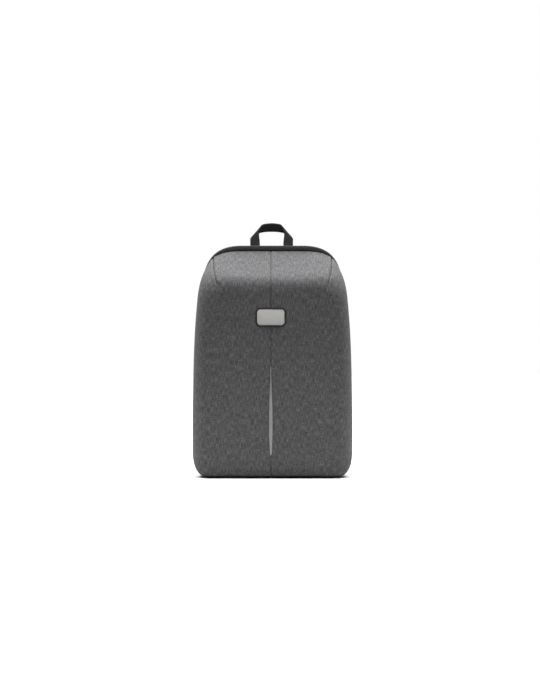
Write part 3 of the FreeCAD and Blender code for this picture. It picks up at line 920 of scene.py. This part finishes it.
def mirrored(piece, name):
    # the left hand's copy of a right-hand piece
    work = bmesh.new()
    work.from_mesh(piece.data)
    bmesh.ops.scale(work, vec=(-1, 1, 1), verts=work.verts)
    bmesh.ops.reverse_faces(work, faces=work.faces)
    mesh = piece.data.copy()
    work.to_mesh(mesh)
    work.free()
    other = bpy.data.objects.new(name, mesh)
    scene.collection.objects.link(other)
    return other


# grab handle: upright legs folded over at a slant into a black grip
handle = {
    "x": -1.6, "y": 40.0, "legThick": 1.5, "gripThick": 2.1,
    "legInner": ((22.5, 437.0), (22.6, 446.0), (24.5, 461.5)),
    "legOuter": ((41, 437.0), (41, 447.0), (40.4, 452.8), (31, 463.8), (18.5, 478.4)),
    "gripInner": ((25.2, 461.6), (13.0, 463.9), (0, 464.5), (-13.0, 463.9), (-25.2, 461.6)),
    "gripOuter": ((19.6, 477.6), (14, 479.8), (0, 481.2), (-14, 479.8), (-19.6, 477.6)),
}


def edgedStrip(name, inner, outer, rows, halfThick, material, side=1):
    # a strip between two drawn edges, lying in the plane of the loop
    edges = []
    for run in (inner, outer):
        line = smoothPath(run, 0.5)
        picked = line[np.linspace(0, len(line) - 1, rows).round().astype(int)]
        x = handle["x"] + side * picked[:, 0]
        edges.append(np.column_stack([x, np.full(rows, handle["y"]), picked[:, 1]]))
    low, high = edges
    wide = np.linalg.norm(high - low, axis=1) / 2
    return sweptStrip(name, (low + high) / 2, high - low, wide, halfThick, material, facing=(0, -1, 0))


def buildHandle():
    for side, hand in ((1, "right"), (-1, "left")):
        leg = edgedStrip(f"handle_leg_{hand}", handle["legInner"], handle["legOuter"], 26,
                         handle["legThick"], "greyWebbing", side)
        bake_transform(leg)
        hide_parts("handle_webbing")
    grip = edgedStrip("handle_grip_strip", handle["gripInner"], handle["gripOuter"], 34,
                      handle["gripThick"], "blackWebbing")
    finishPiece(grip, "grab_handle", "black_webbing", "handle_grip")
    lines = []
    for face in (-1, 1):
        for run, shift in ((handle["gripInner"], 2.6), (handle["gripOuter"], -2.6)):
            path = smoothPath(run, 2.0)[2:-2]
            y = handle["y"] + face * handle["gripThick"]
            lines.append([(handle["x"] + x, y, z + shift) for x, z in path])
    sewLines("handle_stitches", lines, "grab_handle", "black_webbing")
    print("handle made")


buildHandle()


# padded panels: foam under spacer mesh, puffed by simulation
pads = {"voxelMm": 4.0, "pressure": 4.0, "steps": 20, "stiffness": 12.0}


def closedPad(name, front, back, material):
    # two grids of points, sewn together round the rim
    rows, columns = front.shape[:2]
    points = np.concatenate([front.reshape(-1, 3), back.reshape(-1, 3)])
    faces = gridFaces(rows, columns)
    shift = rows * columns
    faces += [tuple(shift + k for k in face[::-1]) for face in gridFaces(rows, columns)]
    rim = [k for k in range(columns)] + [r * columns + columns - 1 for r in range(1, rows)]
    rim += [(rows - 1) * columns + k for k in range(columns - 2, -1, -1)]
    rim += [r * columns for r in range(rows - 2, 0, -1)]
    for a, b in zip(rim, rim[1:] + rim[:1]):
        faces.append((b, a, a + shift, b + shift))
    piece = makeMesh(name, points * mm, faces, material)
    work = bmesh.new()
    work.from_mesh(piece.data)
    bmesh.ops.recalc_face_normals(work, faces=work.faces)
    work.to_mesh(piece.data)
    work.free()
    return piece


def coordinates(mesh):
    flat = np.empty(len(mesh.vertices) * 3, np.float32)
    mesh.vertices.foreach_get("co", flat)
    return flat.reshape(-1, 3).astype(float)


def puffPad(piece, pinned, capMm, voxelMm=pads["voxelMm"]):
    # pinned(points in mm) says which points the sewing holds still
    remesh = piece.modifiers.new("voxels", "REMESH")
    remesh.mode = "VOXEL"
    remesh.voxel_size = voxelMm * mm
    smooth = piece.modifiers.new("even", "SMOOTH")
    smooth.iterations = 2
    applyModifiers(piece)
    rest = coordinates(piece.data)
    held = pinned(rest / mm)
    group = piece.vertex_groups.new(name="sewn")
    group.add([int(k) for k in np.flatnonzero(held)], 1.0, "REPLACE")
    cloth = piece.modifiers.new("puff", "CLOTH")
    settings = cloth.settings
    settings.quality = 5
    settings.mass = 0.3
    settings.tension_stiffness = pads["stiffness"]
    settings.compression_stiffness = pads["stiffness"]
    settings.use_pressure = True
    settings.uniform_pressure_force = pads["pressure"]
    settings.vertex_group_mass = "sewn"
    settings.effector_weights.gravity = 0
    cloth.collision_settings.use_collision = False
    for step in range(1, pads["steps"] + 1):
        scene.frame_set(step)
    applyModifiers(piece)
    moved = coordinates(piece.data) - rest
    length = np.linalg.norm(moved, axis=1)
    moved *= np.minimum(1, capMm * mm / np.maximum(length, 1e-9))[:, None]
    piece.data.vertices.foreach_set("co", (rest + moved).astype(np.float32).ravel())
    scene.frame_set(1)
    finer = piece.modifiers.new("finer", "SUBSURF")
    finer.levels = 1
    finer.render_levels = 1
    applyModifiers(piece)


def pressSeams(piece, drawnIn):
    # drawnIn(points in mm) gives where the sewing leaves each point
    mesh = piece.data
    points = drawnIn(coordinates(mesh) / mm)
    mesh.vertices.foreach_set("co", (points * mm).astype(np.float32).ravel())
    mesh.polygons.foreach_set("use_smooth", [True] * len(mesh.polygons))
    mesh.update()


def roundedWidth(away, half, radius):
    # half width of a rounded rectangle at a distance away from its end
    short = np.clip(radius - away, 0, radius)
    return half - radius + np.sqrt(np.maximum(radius ** 2 - short ** 2, 0))


def slabGrids(x0, x1, z0, z1, yBack, yFront, radius, rows=40, columns=20):
    middle, half = (x0 + x1) / 2, (x1 - x0) / 2
    away = 0.5 - 0.5 * np.cos(np.linspace(0, math.pi, rows))
    z = z0 + (z1 - z0) * away
    wide = roundedWidth(np.minimum(z - z0, z1 - z), half, radius)
    u = np.sin(np.linspace(-math.pi / 2, math.pi / 2, columns))
    grids = []
    for y in (yFront, yBack):
        x = middle + wide[:, None] * u[None, :]
        grids.append(np.stack([x, np.full_like(x, y), np.broadcast_to(z[:, None], x.shape)], axis=2))
    return grids


backPads = {"y": 58.1, "x": (17.5, 116.5), "z": (77.5, 350.5), "thick": 6.4, "radius": 21, "cap": 4.5,
            "channelsZ": (131, 245, 300), "channelDrop": 16.0, "channelDepth": 4.2, "channelWide": 3.4,
            "strapZ": (184, 242), "strapY": 66.2, "topY": 69.0}


def backPadSeams(points):
    x, y, z = points.T
    depth = np.zeros(len(points))
    for level in backPads["channelsZ"]:
        # the channels slant down towards the sides
        line = level - backPads["channelDrop"] * ((np.abs(x) - 17) / 100) ** 1.5 - z
        depth = np.maximum(depth, np.exp(-(line / backPads["channelWide"]) ** 2))
    outer = np.clip((y - backPads["y"]) / backPads["thick"], 0, 1)
    y = y - backPads["channelDepth"] * depth * outer
    # the trolley band holds the pads down where it crosses them
    low, high = backPads["strapZ"]
    under = np.clip((z - low + 12) / 12, 0, 1) * np.clip((high + 12 - z) / 12, 0, 1)
    limit = backPads["topY"] - (backPads["topY"] - backPads["strapY"]) * under
    points[:, 1] = np.maximum(np.minimum(y, limit), backPads["y"] + 0.2)
    return points


def buildBackPads():
    x, z = backPads["x"], backPads["z"]
    base = backPads["y"] + 0.3
    front, back = slabGrids(*x, *z, base, base + backPads["thick"], backPads["radius"])
    right = closedPad("back_pad_cushion_right", front, back, "airMesh")
    puffPad(right, lambda p: p[:, 1] < base + 1.0, backPads["cap"])
    pressSeams(right, backPadSeams)
    left = mirrored(right, "back_pad_cushion_left")
    for piece, hand in ((right, "right"), (left, "left")):
        finishPiece(piece, "rear_shell", "air_mesh", f"back_pad_{hand}")
    print("back pads made", len(right.data.polygons), "faces")


lumbar = {"x": (-88.5, 88.5), "z": (23.5, 64.5), "thick": 5.4, "radius": 13, "cap": 3.5,
          "channelsX": (-31, 31), "channelDepth": 3.4, "channelWide": 3.2}


def lumbarSeams(points):
    x, y, z = points.T
    depth = np.zeros(len(points))
    for place in lumbar["channelsX"]:
        depth = np.maximum(depth, np.exp(-((x - place) / lumbar["channelWide"]) ** 2))
    outer = np.clip((y - backPads["y"]) / lumbar["thick"], 0, 1)
    pressed = y - lumbar["channelDepth"] * depth * outer
    points[:, 1] = np.clip(pressed, backPads["y"] + 0.2, backPads["topY"] - 1)
    return points


def buildLumbar():
    base = backPads["y"] + 0.3
    front, back = slabGrids(*lumbar["x"], *lumbar["z"], base, base + lumbar["thick"], lumbar["radius"],
                            24, 34)
    piece = closedPad("lumbar_cushion", front, back, "airMesh")
    puffPad(piece, lambda p: p[:, 1] < base + 1.0, lumbar["cap"])
    pressSeams(piece, lumbarSeams)
    finishPiece(piece, "rear_shell", "air_mesh", "lumbar_pad")


buildBackPads()
buildLumbar()

strap = {
    "topZ": 386, "lowZ": 150, "archY": ((386, 78), (268, 101), (150, 84)),
    "inner": ((24, 386), (12, 300), (44, 240), (56, 150)),
    "outer": ((70, 386), (88, 310), (112, 240), (108, 150)),
    "thick": 9.0, "margin": 1.6, "radius": 12.0, "cap": 2.6, "webWide": 11.0, "webThick": 0.9,
    "bindWide": 4.7, "bindThick": 1.7, "voxelMm": 3.2,
}
archFit = np.polyfit([z for z, _ in strap["archY"]], [y for _, y in strap["archY"]], 2)


def archY(z):
    return np.polyval(archFit, z)


def strapGrid(margin, rows=60, columns=14):
    # (x, z) across and down the pad, its ends rounded
    t = 0.5 - 0.5 * np.cos(np.linspace(0, math.pi, rows))
    inner = bezier([np.array(p, float) for p in strap["inner"]], t)
    outer = bezier([np.array(p, float) for p in strap["outer"]], t)
    middle = (inner + outer) / 2
    half = np.linalg.norm(outer - inner, axis=1) / 2 - margin
    away = np.minimum(t, 1 - t) * (strap["topZ"] - strap["lowZ"])
    half = roundedWidth(away, half, strap["radius"])
    way = (outer - inner) / np.linalg.norm(outer - inner, axis=1)[:, None]
    u = np.sin(np.linspace(-math.pi / 2, math.pi / 2, columns))
    grid = middle[:, None, :] + way[:, None, :] * (half[:, None] * u[None, :])[:, :, None]
    grid[:, :, 1] = np.clip(grid[:, :, 1], strap["lowZ"] + margin, strap["topZ"] - margin)
    return grid


def strapPoint(share, lift):
    # a point on the pad's centre line; share runs from its top to its low end
    inner = bezier([np.array(p, float) for p in strap["inner"]], np.array([share]))[0]
    outer = bezier([np.array(p, float) for p in strap["outer"]], np.array([share]))[0]
    x, z = (inner + outer) / 2
    return (x, float(archY(z)) + lift, z)


def strapPadSeams(points):
    # the webbing down the middle is sewn through and draws the pad in beneath it
    x, y, z = points.T
    line = np.array([strapPoint(t, 0) for t in np.linspace(0, 1, 60)])
    centre = np.interp(z, line[::-1, 2], line[::-1, 0])
    gap = np.abs(x - centre)
    limit = archY(z) + strap["thick"] + 0.2 + 3.0 * np.clip((gap - strap["webWide"]) / 6, 0, 1)
    points[:, 1] = np.minimum(y, limit)
    for k in range(1, 5):
        # four quilting rows across the inner face
        row = strap["lowZ"] + (strap["topZ"] - strap["lowZ"]) * k / 5
        near = np.exp(-((z - row) / 3.0) ** 2) * (points[:, 1] < archY(z) + strap["thick"] * 0.45)
        points[:, 1] += 2.0 * near
    return points


def buildStrapPads():
    grid = strapGrid(strap["margin"])
    sheets = []
    for lift in (strap["thick"] - 1.4, 1.4):
        sheets.append(np.stack([grid[:, :, 0], archY(grid[:, :, 1]) + lift, grid[:, :, 1]], axis=2))
    right = closedPad("strap_cushion_right", *sheets, "airMesh")
    edge = np.concatenate([grid[0], grid[:, -1], grid[-1][::-1], grid[:, 0][::-1]])

    def atRim(p):
        gap = np.sqrt(((p[:, None, [0, 2]] - edge[None, :, :]) ** 2).sum(-1)).min(1)
        return gap < 2.5

    puffPad(right, atRim, strap["cap"], strap["voxelMm"])
    pressSeams(right, strapPadSeams)
    # the side away from the wearer is covered in cloth
    right.data.materials.append(materials["charcoal"])
    for polygon in right.data.polygons:
        polygon.material_index = 1 if polygon.normal.y > 0 else 0
    addBoxUv(right)
    left = mirrored(right, "strap_cushion_left")
    for piece, hand in ((right, "right"), (left, "left")):
        finishPiece(piece, f"shoulder_strap_{hand}", "air_mesh", f"strap_pad_{hand}")
    print("strap pads made", len(right.data.polygons), "faces")


def bindingPath():
    # once round the pad's edge, half way through its thickness
    grid = strapGrid(strap["margin"] - 0.4, 90, 14)
    around = np.concatenate([grid[0][:-1], grid[:-1, -1], grid[-1][::-1][:-1], grid[1:, 0][::-1]])
    closing = np.vstack([around, around[:1]])
    along = np.concatenate([[0], np.cumsum(np.linalg.norm(np.diff(closing, axis=0), axis=1))])
    even = np.linspace(0, along[-1], 200, endpoint=False)
    x, z = (np.interp(even, along, closing[:, k]) for k in (0, 1))
    return np.column_stack([x, archY(z) + strap["thick"] / 2, z])


buckle = {"x": 82.0, "backY": 83.1, "frontY": 91.3, "slotZ": (138.0, 139.9)}


def webbingRun(name, run):
    return sweptStrip(name, smoothPath(run, 1.6), (1, 0, 0), strap["webWide"], strap["webThick"],
                      "blackWebbing")


def buildStrapWebbing(side, hand):
    body = f"shoulder_strap_{hand}"

    def flip(points):
        return [(side * x, y, z) for x, y, z in points]

    binding = bindingPath()
    binding[:, 0] *= side
    piece = sweptStrip(f"strap_binding_{hand}", binding, (0, 1, 0), strap["bindWide"], strap["bindThick"],
                       "blackWebbing", closed=True, squareness=4)
    finishPiece(piece, body, "black_webbing")
    # webbing down the pad, round the buckle's upper bar and back under the pad
    x, front, back = buckle["x"], buckle["frontY"], buckle["backY"]
    slotLow, slotHigh = buckle["slotZ"]
    run = [strapPoint(t, strap["thick"] + 1.3) for t in (0.04, 0.2, 0.4, 0.55, 0.7, 0.85, 0.95)]
    run += [(x, 92.6, 153), (x, front, 147), (x, front - 0.2, 142), (x, 87.2, slotHigh),
            (x, back, 142), (x, back - 0.1, 147), (x, 82.6, 155), (x, 84.6, 166)]
    padWeb = webbingRun(f"strap_web_{hand}", flip(run))
    finishPiece(padWeb, body, "black_webbing")
    # cloth yoke from the back panel over the top of the pad
    yoke = [(45, 58.8, 396), (45, 61.0, 402.0), (45, 66, 404.4), (46, 73.5, 399.5), (47, 81.0, 388),
            (48.6, 87.6, 372)]
    path = smoothPath(flip(yoke), 2.0)
    share = np.linspace(0, 1, len(path))
    wide = np.interp(share, (0, 0.35, 0.7, 1), (15.5, 16.5, 23.4, 26.2))
    thick = np.interp(share, (0, 0.3, 0.6, 0.75, 1), (1.4, 1.8, 3.4, 5.4, 6.4))
    yokeCloth = sweptStrip(f"strap_yoke_cloth_{hand}", path, (1, 0, 0), wide, thick, "charcoal",
                           squareness=12)
    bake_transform(yokeCloth)
    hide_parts(f"strap_yoke_{hand}")
    # lower webbing: from the bottom corner, behind the buckle and out over its middle bar
    run = [(113, 61.6, 40), (112.3, 64.6, 49), (111, 68.4, 59), (104, 73.1, 74), (97, 77.6, 90),
           (88, 83.0, 110), (x, back, 122), (x, back - 0.4, 133), (x, 85.6, 137.4), (x, 89.4, slotLow),
           (x, front, 136.2), (x, front + 0.2, 133.4)]
    piece = webbingRun(f"lower_web_{hand}", flip(run))
    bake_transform(piece)
    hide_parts(f"strap_webbing_{hand}")
    # the loose tail, turned up and sewn double at its end
    tail = [(x, 92.3, 134.2), (x, 92.6, 126), (x + 0.2, 92.2, 110), (x + 0.3, 91.8, 94), (x, 92.2, 80),
            (x, 92.8, 72.6)]
    path = smoothPath(flip(tail), 1.6)
    thick = np.where(path[:, 2] < 84, 1.7, strap["webThick"])
    tailWeb = sweptStrip(f"tail_web_{hand}", path, (1, 0, 0), strap["webWide"] - 0.3, thick, "blackWebbing")
    finishPiece(tailWeb, f"strap_tail_{hand}", "black_webbing", f"strap_tail_{hand}")
    for node, slotName, material, bevelMm in (
            (f"strap_buckle_{hand}", "moulded_black", "moulded", 0.9),
            (f"strap_top_anchor_{hand}", "black_webbing", "blackWebbing", 0.7),
            (f"strap_low_anchor_{hand}", "black_webbing", "charcoal", 1.8)):
        copy = softCopy(node, material, bevelMm)
        carrier = body if "buckle" in node else "rear_shell"
        finishPiece(copy, carrier, slotName, node)
    web = strap["webWide"] - 1.6
    top = [strapPoint(t, strap["thick"] + 2.1) for t in np.linspace(0.08, 0.95, 40)]
    lines = [flip([(px + offset, py, pz) for px, py, pz in top]) for offset in (-web, web)]
    lines.append(flip([(48.6 - 22, 94.9, 374), (48.6 + 22, 94.9, 374)]))
    lines += [flip(line) for line in crossedBox(x - web, x + web, 76, 82, 94.5)]
    sewLines(f"strap_stitches_{hand}", lines[:-3], body, "black_webbing", (padWeb, yokeCloth))
    sewLines(f"tail_stitches_{hand}", lines[-3:], f"strap_tail_{hand}", "black_webbing", (tailWeb,))
    lines = [flip(line) for line in crossedBox(27, 63, 396.5, 411.5, 60.3)]
    lines += [flip(line) for line in crossedBox(101, 124, 24, 34, 65.3)]
    sewLines(f"anchor_stitches_{hand}", lines, "rear_shell", "black_webbing")


buildStrapPads()
for side, hand in ((1, "right"), (-1, "left")):
    buildStrapWebbing(side, hand)
print("shoulder straps made")

trolley = {"half": 126.0, "z": (188, 238), "y": (58.9, 67.6), "thick": 0.95}


def buildTrolley():
    # elastic band over the back pads, sewn down at both sides
    low, high = trolley["y"]
    half = trolley["half"]
    side = [(half, low), (half - 5, low + 0.5), (half - 10, high - 2.2), (half - 16, high - 0.2)]
    run = side + [(60, high + 0.3), (20, high), (0, high - 0.2), (-20, high), (-60, high + 0.3)]
    run += [(-x, y) for x, y in side[::-1]]
    z0, z1 = trolley["z"]
    path = smoothPath([(x, y, (z0 + z1) / 2) for x, y in run], 2.5)
    piece = sweptStrip("trolley_band", path, (0, 0, 1), (z1 - z0) / 2, trolley["thick"], "blackWebbing",
                       squareness=20)
    finishPiece(piece, "rear_shell", "black_webbing", "trolley_strap")
    lines = []
    for x in (half - 2.0, half - 4.0):
        for hand in (1, -1):
            lines.append([(hand * x, low + 1.3, z0 + 2), (hand * x, low + 1.3, z1 - 2)])
    along = [(x, y + 1.05) for x, y, _ in path if abs(x) < half - 14]
    for z in (z0 + 2.5, z1 - 2.5):
        lines.append([(x, y, z) for x, y in along])
    sewLines("trolley_stitches", lines, "rear_shell", "black_webbing")


buildTrolley()

laptopTab = {"halfWide": 17.6, "thick": 0.9, "run": (
    (0, 50.4, 357), (0, 48.6, 353.2), (0, 45.5, 351.6), (0, 38, 350.6), (0, 31.8, 348), (0, 29.3, 341),
    (0, 29.1, 326), (0, 29.3, 313))}


def buildLaptopTab():
    path = smoothPath(laptopTab["run"], 1.5)
    piece = sweptStrip("laptop_tab_strip", path, (1, 0, 0), laptopTab["halfWide"], laptopTab["thick"],
                       "blackWebbing")
    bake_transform(piece)
    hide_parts("laptop_tab")
    half = laptopTab["halfWide"] - 2.0
    lines = crossedBox(-half, half, 315, 325, 28.0)
    sewLines("laptop_tab_stitches", lines, "laptop_tab", "black_webbing", (piece,))


def addBlock(piece, low, high, bevelMm=0.3):
    # a small bevelled block joined to a piece, corners in mm
    work = bmesh.new()
    work.from_mesh(piece.data)
    made = bmesh.ops.create_cube(work, size=1.0)["verts"]
    low, high = Vector(low) * mm, Vector(high) * mm
    for vertex in made:
        vertex.co = Vector(((low[k] + high[k]) / 2 + vertex.co[k] * (high[k] - low[k]) for k in range(3)))
    edges = list({edge for vertex in made for edge in vertex.link_edges})
    bmesh.ops.bevel(work, geom=edges, offset=bevelMm * mm, segments=2, affect="EDGES", profile=0.5)
    work.to_mesh(piece.data)
    work.free()


buildLaptopTab()

hardware = (
    # node, body, slot, material, bevel in mm
    ("usb_port", "rear_shell", "moulded_black", "moulded", 0.4),
    ("usb_cover", "usb_cover", "soft_rubber", "rubber", 0.5),
    ("upper_slider", "upper_slider", "slider_metal", "slider", 0.35),
    ("lower_slider", "lower_slider", "slider_metal", "slider", 0.35),
    ("upper_pull", "upper_pull", "slider_metal", "slider", 0.4),
    ("lower_pull", "lower_pull", "slider_metal", "slider", 0.4),
    ("laptop_tab_anchor", "rear_shell", "black_webbing", "blackWebbing", 0.5),
    ("handle_anchor", "rear_shell", "black_webbing", "blackWebbing", 0.5),
    ("back_stiffener", "rear_shell", "lining_cloth", "lining", 1.0),
)
for node, body, slotName, material, bevelMm in hardware:
    piece = softCopy(node, material, bevelMm)
    low, high = (np.array(corner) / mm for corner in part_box(node))
    if node.endswith("slider"):
        # the neck that grips both rows of the coil
        addBlock(piece, (low[0] - 5.0, 21.0, low[2] + 0.6), (low[0] + 0.6, 23.6, high[2] - 0.6))
    if node.endswith("pull"):
        # ribs to grip by
        for k in range(5):
            z = low[2] + 1.8 + 1.9 * k
            addBlock(piece, (high[0] - 0.3, low[1] + 0.7, z), (high[0] + 0.35, high[1] - 0.7, z + 0.9), 0.2)
    finishPiece(piece, body, slotName, node)
print("buckles, port and sliders finished")

# inside: lining and pockets
lining = {"wall": 4.3, "rings": 26, "samples": (18, 50, 44, 18, 24, 24)}


def buildLining():
    # loose twill inside the front shell, from the zip round to the flat front
    rings = []
    start, end = shell["frontY"] + lining["wall"], shell["zipY"] - 0.2
    for j in range(lining["rings"]):
        share = (j / (lining["rings"] - 1)) ** 1.7
        y = start + (end - start) * share
        scaled = shell["frontY"] + (shell["zipY"] - shell["frontY"]) * (y - start) / (end - start)
        half = halfOutline(inset(shellRing(scaled), lining["wall"]), lining["samples"])
        full = np.concatenate([half, half[1:-1][::-1] * np.array([-1, 1])])
        rings.append(np.column_stack([full[:, 0], np.full(len(full), y), full[:, 1]]))
    flat = rings[0]
    centre = np.array([0, start, 190.0])
    inner = [centre + (flat - centre) * share for share in np.linspace(0.03, 0.96, 22)]
    grid = np.array(inner + rings)
    loose = np.array([noise.noise(Vector(p * 0.02) + Vector((9.2, 1.5, 4.4))) for p in grid.reshape(-1, 3)])
    loose = loose.reshape(grid.shape[:2]) * np.clip((end - grid[:, :, 1]) / 20, 0, 1)
    towards = np.array([0, -20, 200.0]) - grid
    towards /= np.linalg.norm(towards, axis=2)[:, :, None]
    grid += towards * (np.abs(loose) * 1.4)[:, :, None]
    count = grid.shape[1]
    faces = gridFaces(len(grid), count, closedColumns=True, flip=True)
    faces.append(tuple(range(count)))
    piece = makeMesh("front_lining_cloth", grid.reshape(-1, 3) * mm, faces, "lining")
    addBoxUv(piece)
    finishPiece(piece, "front_shell", "lining_cloth", "front_lining")


pouches = (
    # wall is the depth y at which each is sewn on, depth how far its mouth stands off
    {"name": "organiser_cloth", "node": "organiser_pocket", "body": "front_shell",
     "x": (-95, 95), "z": (60, 250), "wall": -61.0, "depth": 13.4,
     "material": "lining", "slot": "lining_cloth", "seamsX": (-34, 6, 34)},
    {"name": "battery_net", "node": "battery_pocket", "body": "front_shell",
     "x": (-100, -16), "z": (253, 330), "wall": -60.6, "depth": 24.0,
     "material": "pocketMesh", "slot": "mesh_pocket"},
    {"name": "laptop_sleeve_cloth", "node": "laptop_sleeve", "body": "rear_shell",
     "x": (-128, 128), "z": (14, 330), "wall": 51.0, "depth": -18.6,
     "material": "charcoal", "slot": "lining_cloth"},
)


def buildPouch(spec, rows=44, columns=90):
    # a patch pocket: cloth folded out at its sides and foot, open at the top
    (x0, x1), (z0, z1) = spec["x"], spec["z"]
    u = 0.5 * -np.cos(np.linspace(0, math.pi, columns)) + 0.5 * np.linspace(-1, 1, columns)
    v = 1 - np.cos(np.linspace(0, math.pi / 2, rows))
    v = v / v[-1]
    edgeMm = 7.0
    x = (x0 + x1) / 2 + (x1 - x0) / 2 * u
    z = z0 + (z1 - z0) * v
    fromSide = np.minimum(x - x0, x1 - x)
    rounding = []
    for away in (fromSide, z - z0):
        share = np.clip(away / edgeMm, 0, 1)
        rounding.append(np.sqrt(1 - (1 - share) ** 2))
    out = rounding[1][:, None] * rounding[0][None, :]
    for place in spec.get("seamsX", ()):
        # sewn down to the wall between the pen and card pockets
        out = out * (1 - 0.75 * np.exp(-((x - place) / 3.2) ** 2))[None, :]
    grid = np.empty((rows, columns, 3))
    grid[:, :, 0] = x[None, :]
    grid[:, :, 2] = z[:, None]
    for i in range(rows):
        for j in range(columns):
            loose = noise.noise(Vector((x[j] * 0.025, spec["depth"], z[i] * 0.02)))
            sag = 0.93 + 0.07 * loose
            grid[i, j, 1] = spec["wall"] + spec["depth"] * out[i, j] * sag
    faces = gridFaces(rows, columns, flip=spec["depth"] < 0)
    flatUv = grid[:, :, [0, 2]].reshape(-1, 2)
    piece = makeMesh(spec["name"], grid.reshape(-1, 3) * mm, faces, spec["material"], flatUv * mm)
    solid = piece.modifiers.new("thickness", "SOLIDIFY")
    solid.thickness = 1.0 * mm
    solid.offset = -1
    applyModifiers(piece)
    finishPiece(piece, spec["body"], spec["slot"], spec["node"])
    # binding along the mouth
    mouth = grid[-1].copy()
    mouth[:, 2] -= 3.0
    inward = -0.5 if spec["depth"] > 0 else 0.5
    mouth[:, 1] += inward
    across = np.array([0, 0, 1.0])
    trim = sweptStrip(spec["name"] + "_binding", mouth, across, 4.0, 1.1, "blackWebbing")
    finishPiece(trim, spec["body"], "black_webbing")


def buildHingeCloth():
    # the strip of lining that joins both shells below the ends of the zip
    path = smoothPath([(0, 13, 1.9), (0, 18, 1.2), (0, 22.05, 0.75), (0, 26.5, 1.2), (0, 32, 1.9)], 0.8)
    piece = sweptStrip("hinge_cloth", path, (1, 0, 0), 114, 0.55, "charcoal", squareness=60)
    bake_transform(piece)


buildLining()
for spec in pouches:
    buildPouch(spec)
buildHingeCloth()
print("lining and pockets made")


view = {"lens": 85.0, "distance": 3.105, "aim": (-0.0047, -0.02, 0.2383),
        "frontGlow": 0.0, "backGlow": 0.5, "topWatts": 440, "topSize": (5.0, 5.0), "topHeight": 3.6,
        "paperBounce": "cccccc", "cardBounce": "2a2a2a", "cardAway": (0.3, 0.75),
        "paperFrom": 0.45, "paperTo": 1.2}


def buildStage():
    camera = bpy.data.cameras.new("camera")
    camera.lens = view["lens"]
    camera.sensor_width = 36
    camera.clip_end = 50
    holder = bpy.data.objects.new("camera", camera)
    holder.location = (view["aim"][0], view["aim"][1] - view["distance"], view["aim"][2])
    holder.rotation_euler = (math.radians(90), 0, 0)
    scene.collection.objects.link(holder)
    scene.camera = holder
    world = bpy.data.worlds.new("studio")
    scene.world = world
    world.use_nodes = True
    tree = world.node_tree
    sky = tree.nodes["Background"]
    sky.inputs["Strength"].default_value = 1.0
    # white paper room: dim in front, brighter at the sides and behind
    facing = addNode(tree, "ShaderNodeSeparateXYZ", links={
        "Vector": addNode(tree, "ShaderNodeTexCoord").outputs["Generated"]})
    around = addNode(tree, "ShaderNodeMapRange",
                     {"interpolation_type": "SMOOTHSTEP", "in:1": -0.4, "in:2": 0.8,
                      "in:3": view["frontGlow"], "in:4": view["backGlow"]},
                     {"0": facing.outputs["Y"]}).outputs[0]
    seen = addNode(tree, "ShaderNodeLightPath").outputs["Is Camera Ray"]
    level = addNode(tree, "ShaderNodeMix", {"data_type": "FLOAT", "in:3": 1.0}, {"0": seen, "2": around})
    grey = addNode(tree, "ShaderNodeCombineColor", links={
        "0": level.outputs[0], "1": level.outputs[0], "2": level.outputs[0]})
    tree.links.new(grey.outputs[0], sky.inputs["Color"])
    mesh = bpy.data.meshes.new("floor")
    mesh.from_pydata([(-12, -12, 0), (12, -12, 0), (12, 12, 0), (-12, 12, 0)], [], [(0, 1, 2, 3)])
    floor = bpy.data.objects.new("floor", mesh)
    scene.collection.objects.link(floor)
    material, tree, shader = newMaterial("white_paper")
    # the paper throws light up at the bag's foot; dark card further out keeps its face from
    # being flat lit, and what the camera sees runs out to plain white
    seen = addNode(tree, "ShaderNodeLightPath").outputs["Is Camera Ray"]
    away = addNode(tree, "ShaderNodeVectorMath", {"operation": "LENGTH"}, {
        "0": addNode(tree, "ShaderNodeTexCoord").outputs["Object"]}).outputs["Value"]
    cardFrom, cardTo = view["cardAway"]
    card = addNode(tree, "ShaderNodeMapRange", {"interpolation_type": "SMOOTHSTEP", "in:1": cardFrom,
                   "in:2": cardTo}, {"0": away}).outputs[0]
    bounce = addNode(tree, "ShaderNodeMix", {"data_type": "RGBA", "in:6": hexColour(view["paperBounce"]),
                                             "in:7": hexColour(view["cardBounce"])}, {"0": card}).outputs[2]
    tone = addNode(tree, "ShaderNodeMix", {"data_type": "RGBA", "in:7": hexColour("f2f2f2")},
                   {"0": seen, "6": bounce}).outputs[2]
    tree.links.new(tone, shader.inputs["Base Color"])
    shader.inputs["Roughness"].default_value = 1.0
    shader.inputs["Specular IOR Level"].default_value = 0.0
    far = addNode(tree, "ShaderNodeMapRange", {"interpolation_type": "SMOOTHSTEP", "in:1": view["paperFrom"],
                  "in:2": view["paperTo"]}, {"0": away}).outputs[0]
    tree.links.new(mathNode(tree, "MULTIPLY", far, seen), shader.inputs["Emission Strength"])
    shader.inputs["Emission Color"].default_value = (1, 1, 1, 1)
    mesh.materials.append(material)
    lamp = bpy.data.lights.new("top_softbox", "AREA")
    lamp.shape = "RECTANGLE"
    lamp.size, lamp.size_y = view["topSize"]
    lamp.energy = view["topWatts"]
    holder = bpy.data.objects.new("top_softbox", lamp)
    holder.location = (0, 0.2, view["topHeight"])
    scene.collection.objects.link(holder)
    scene.view_settings.view_transform = "Standard"


buildStage()
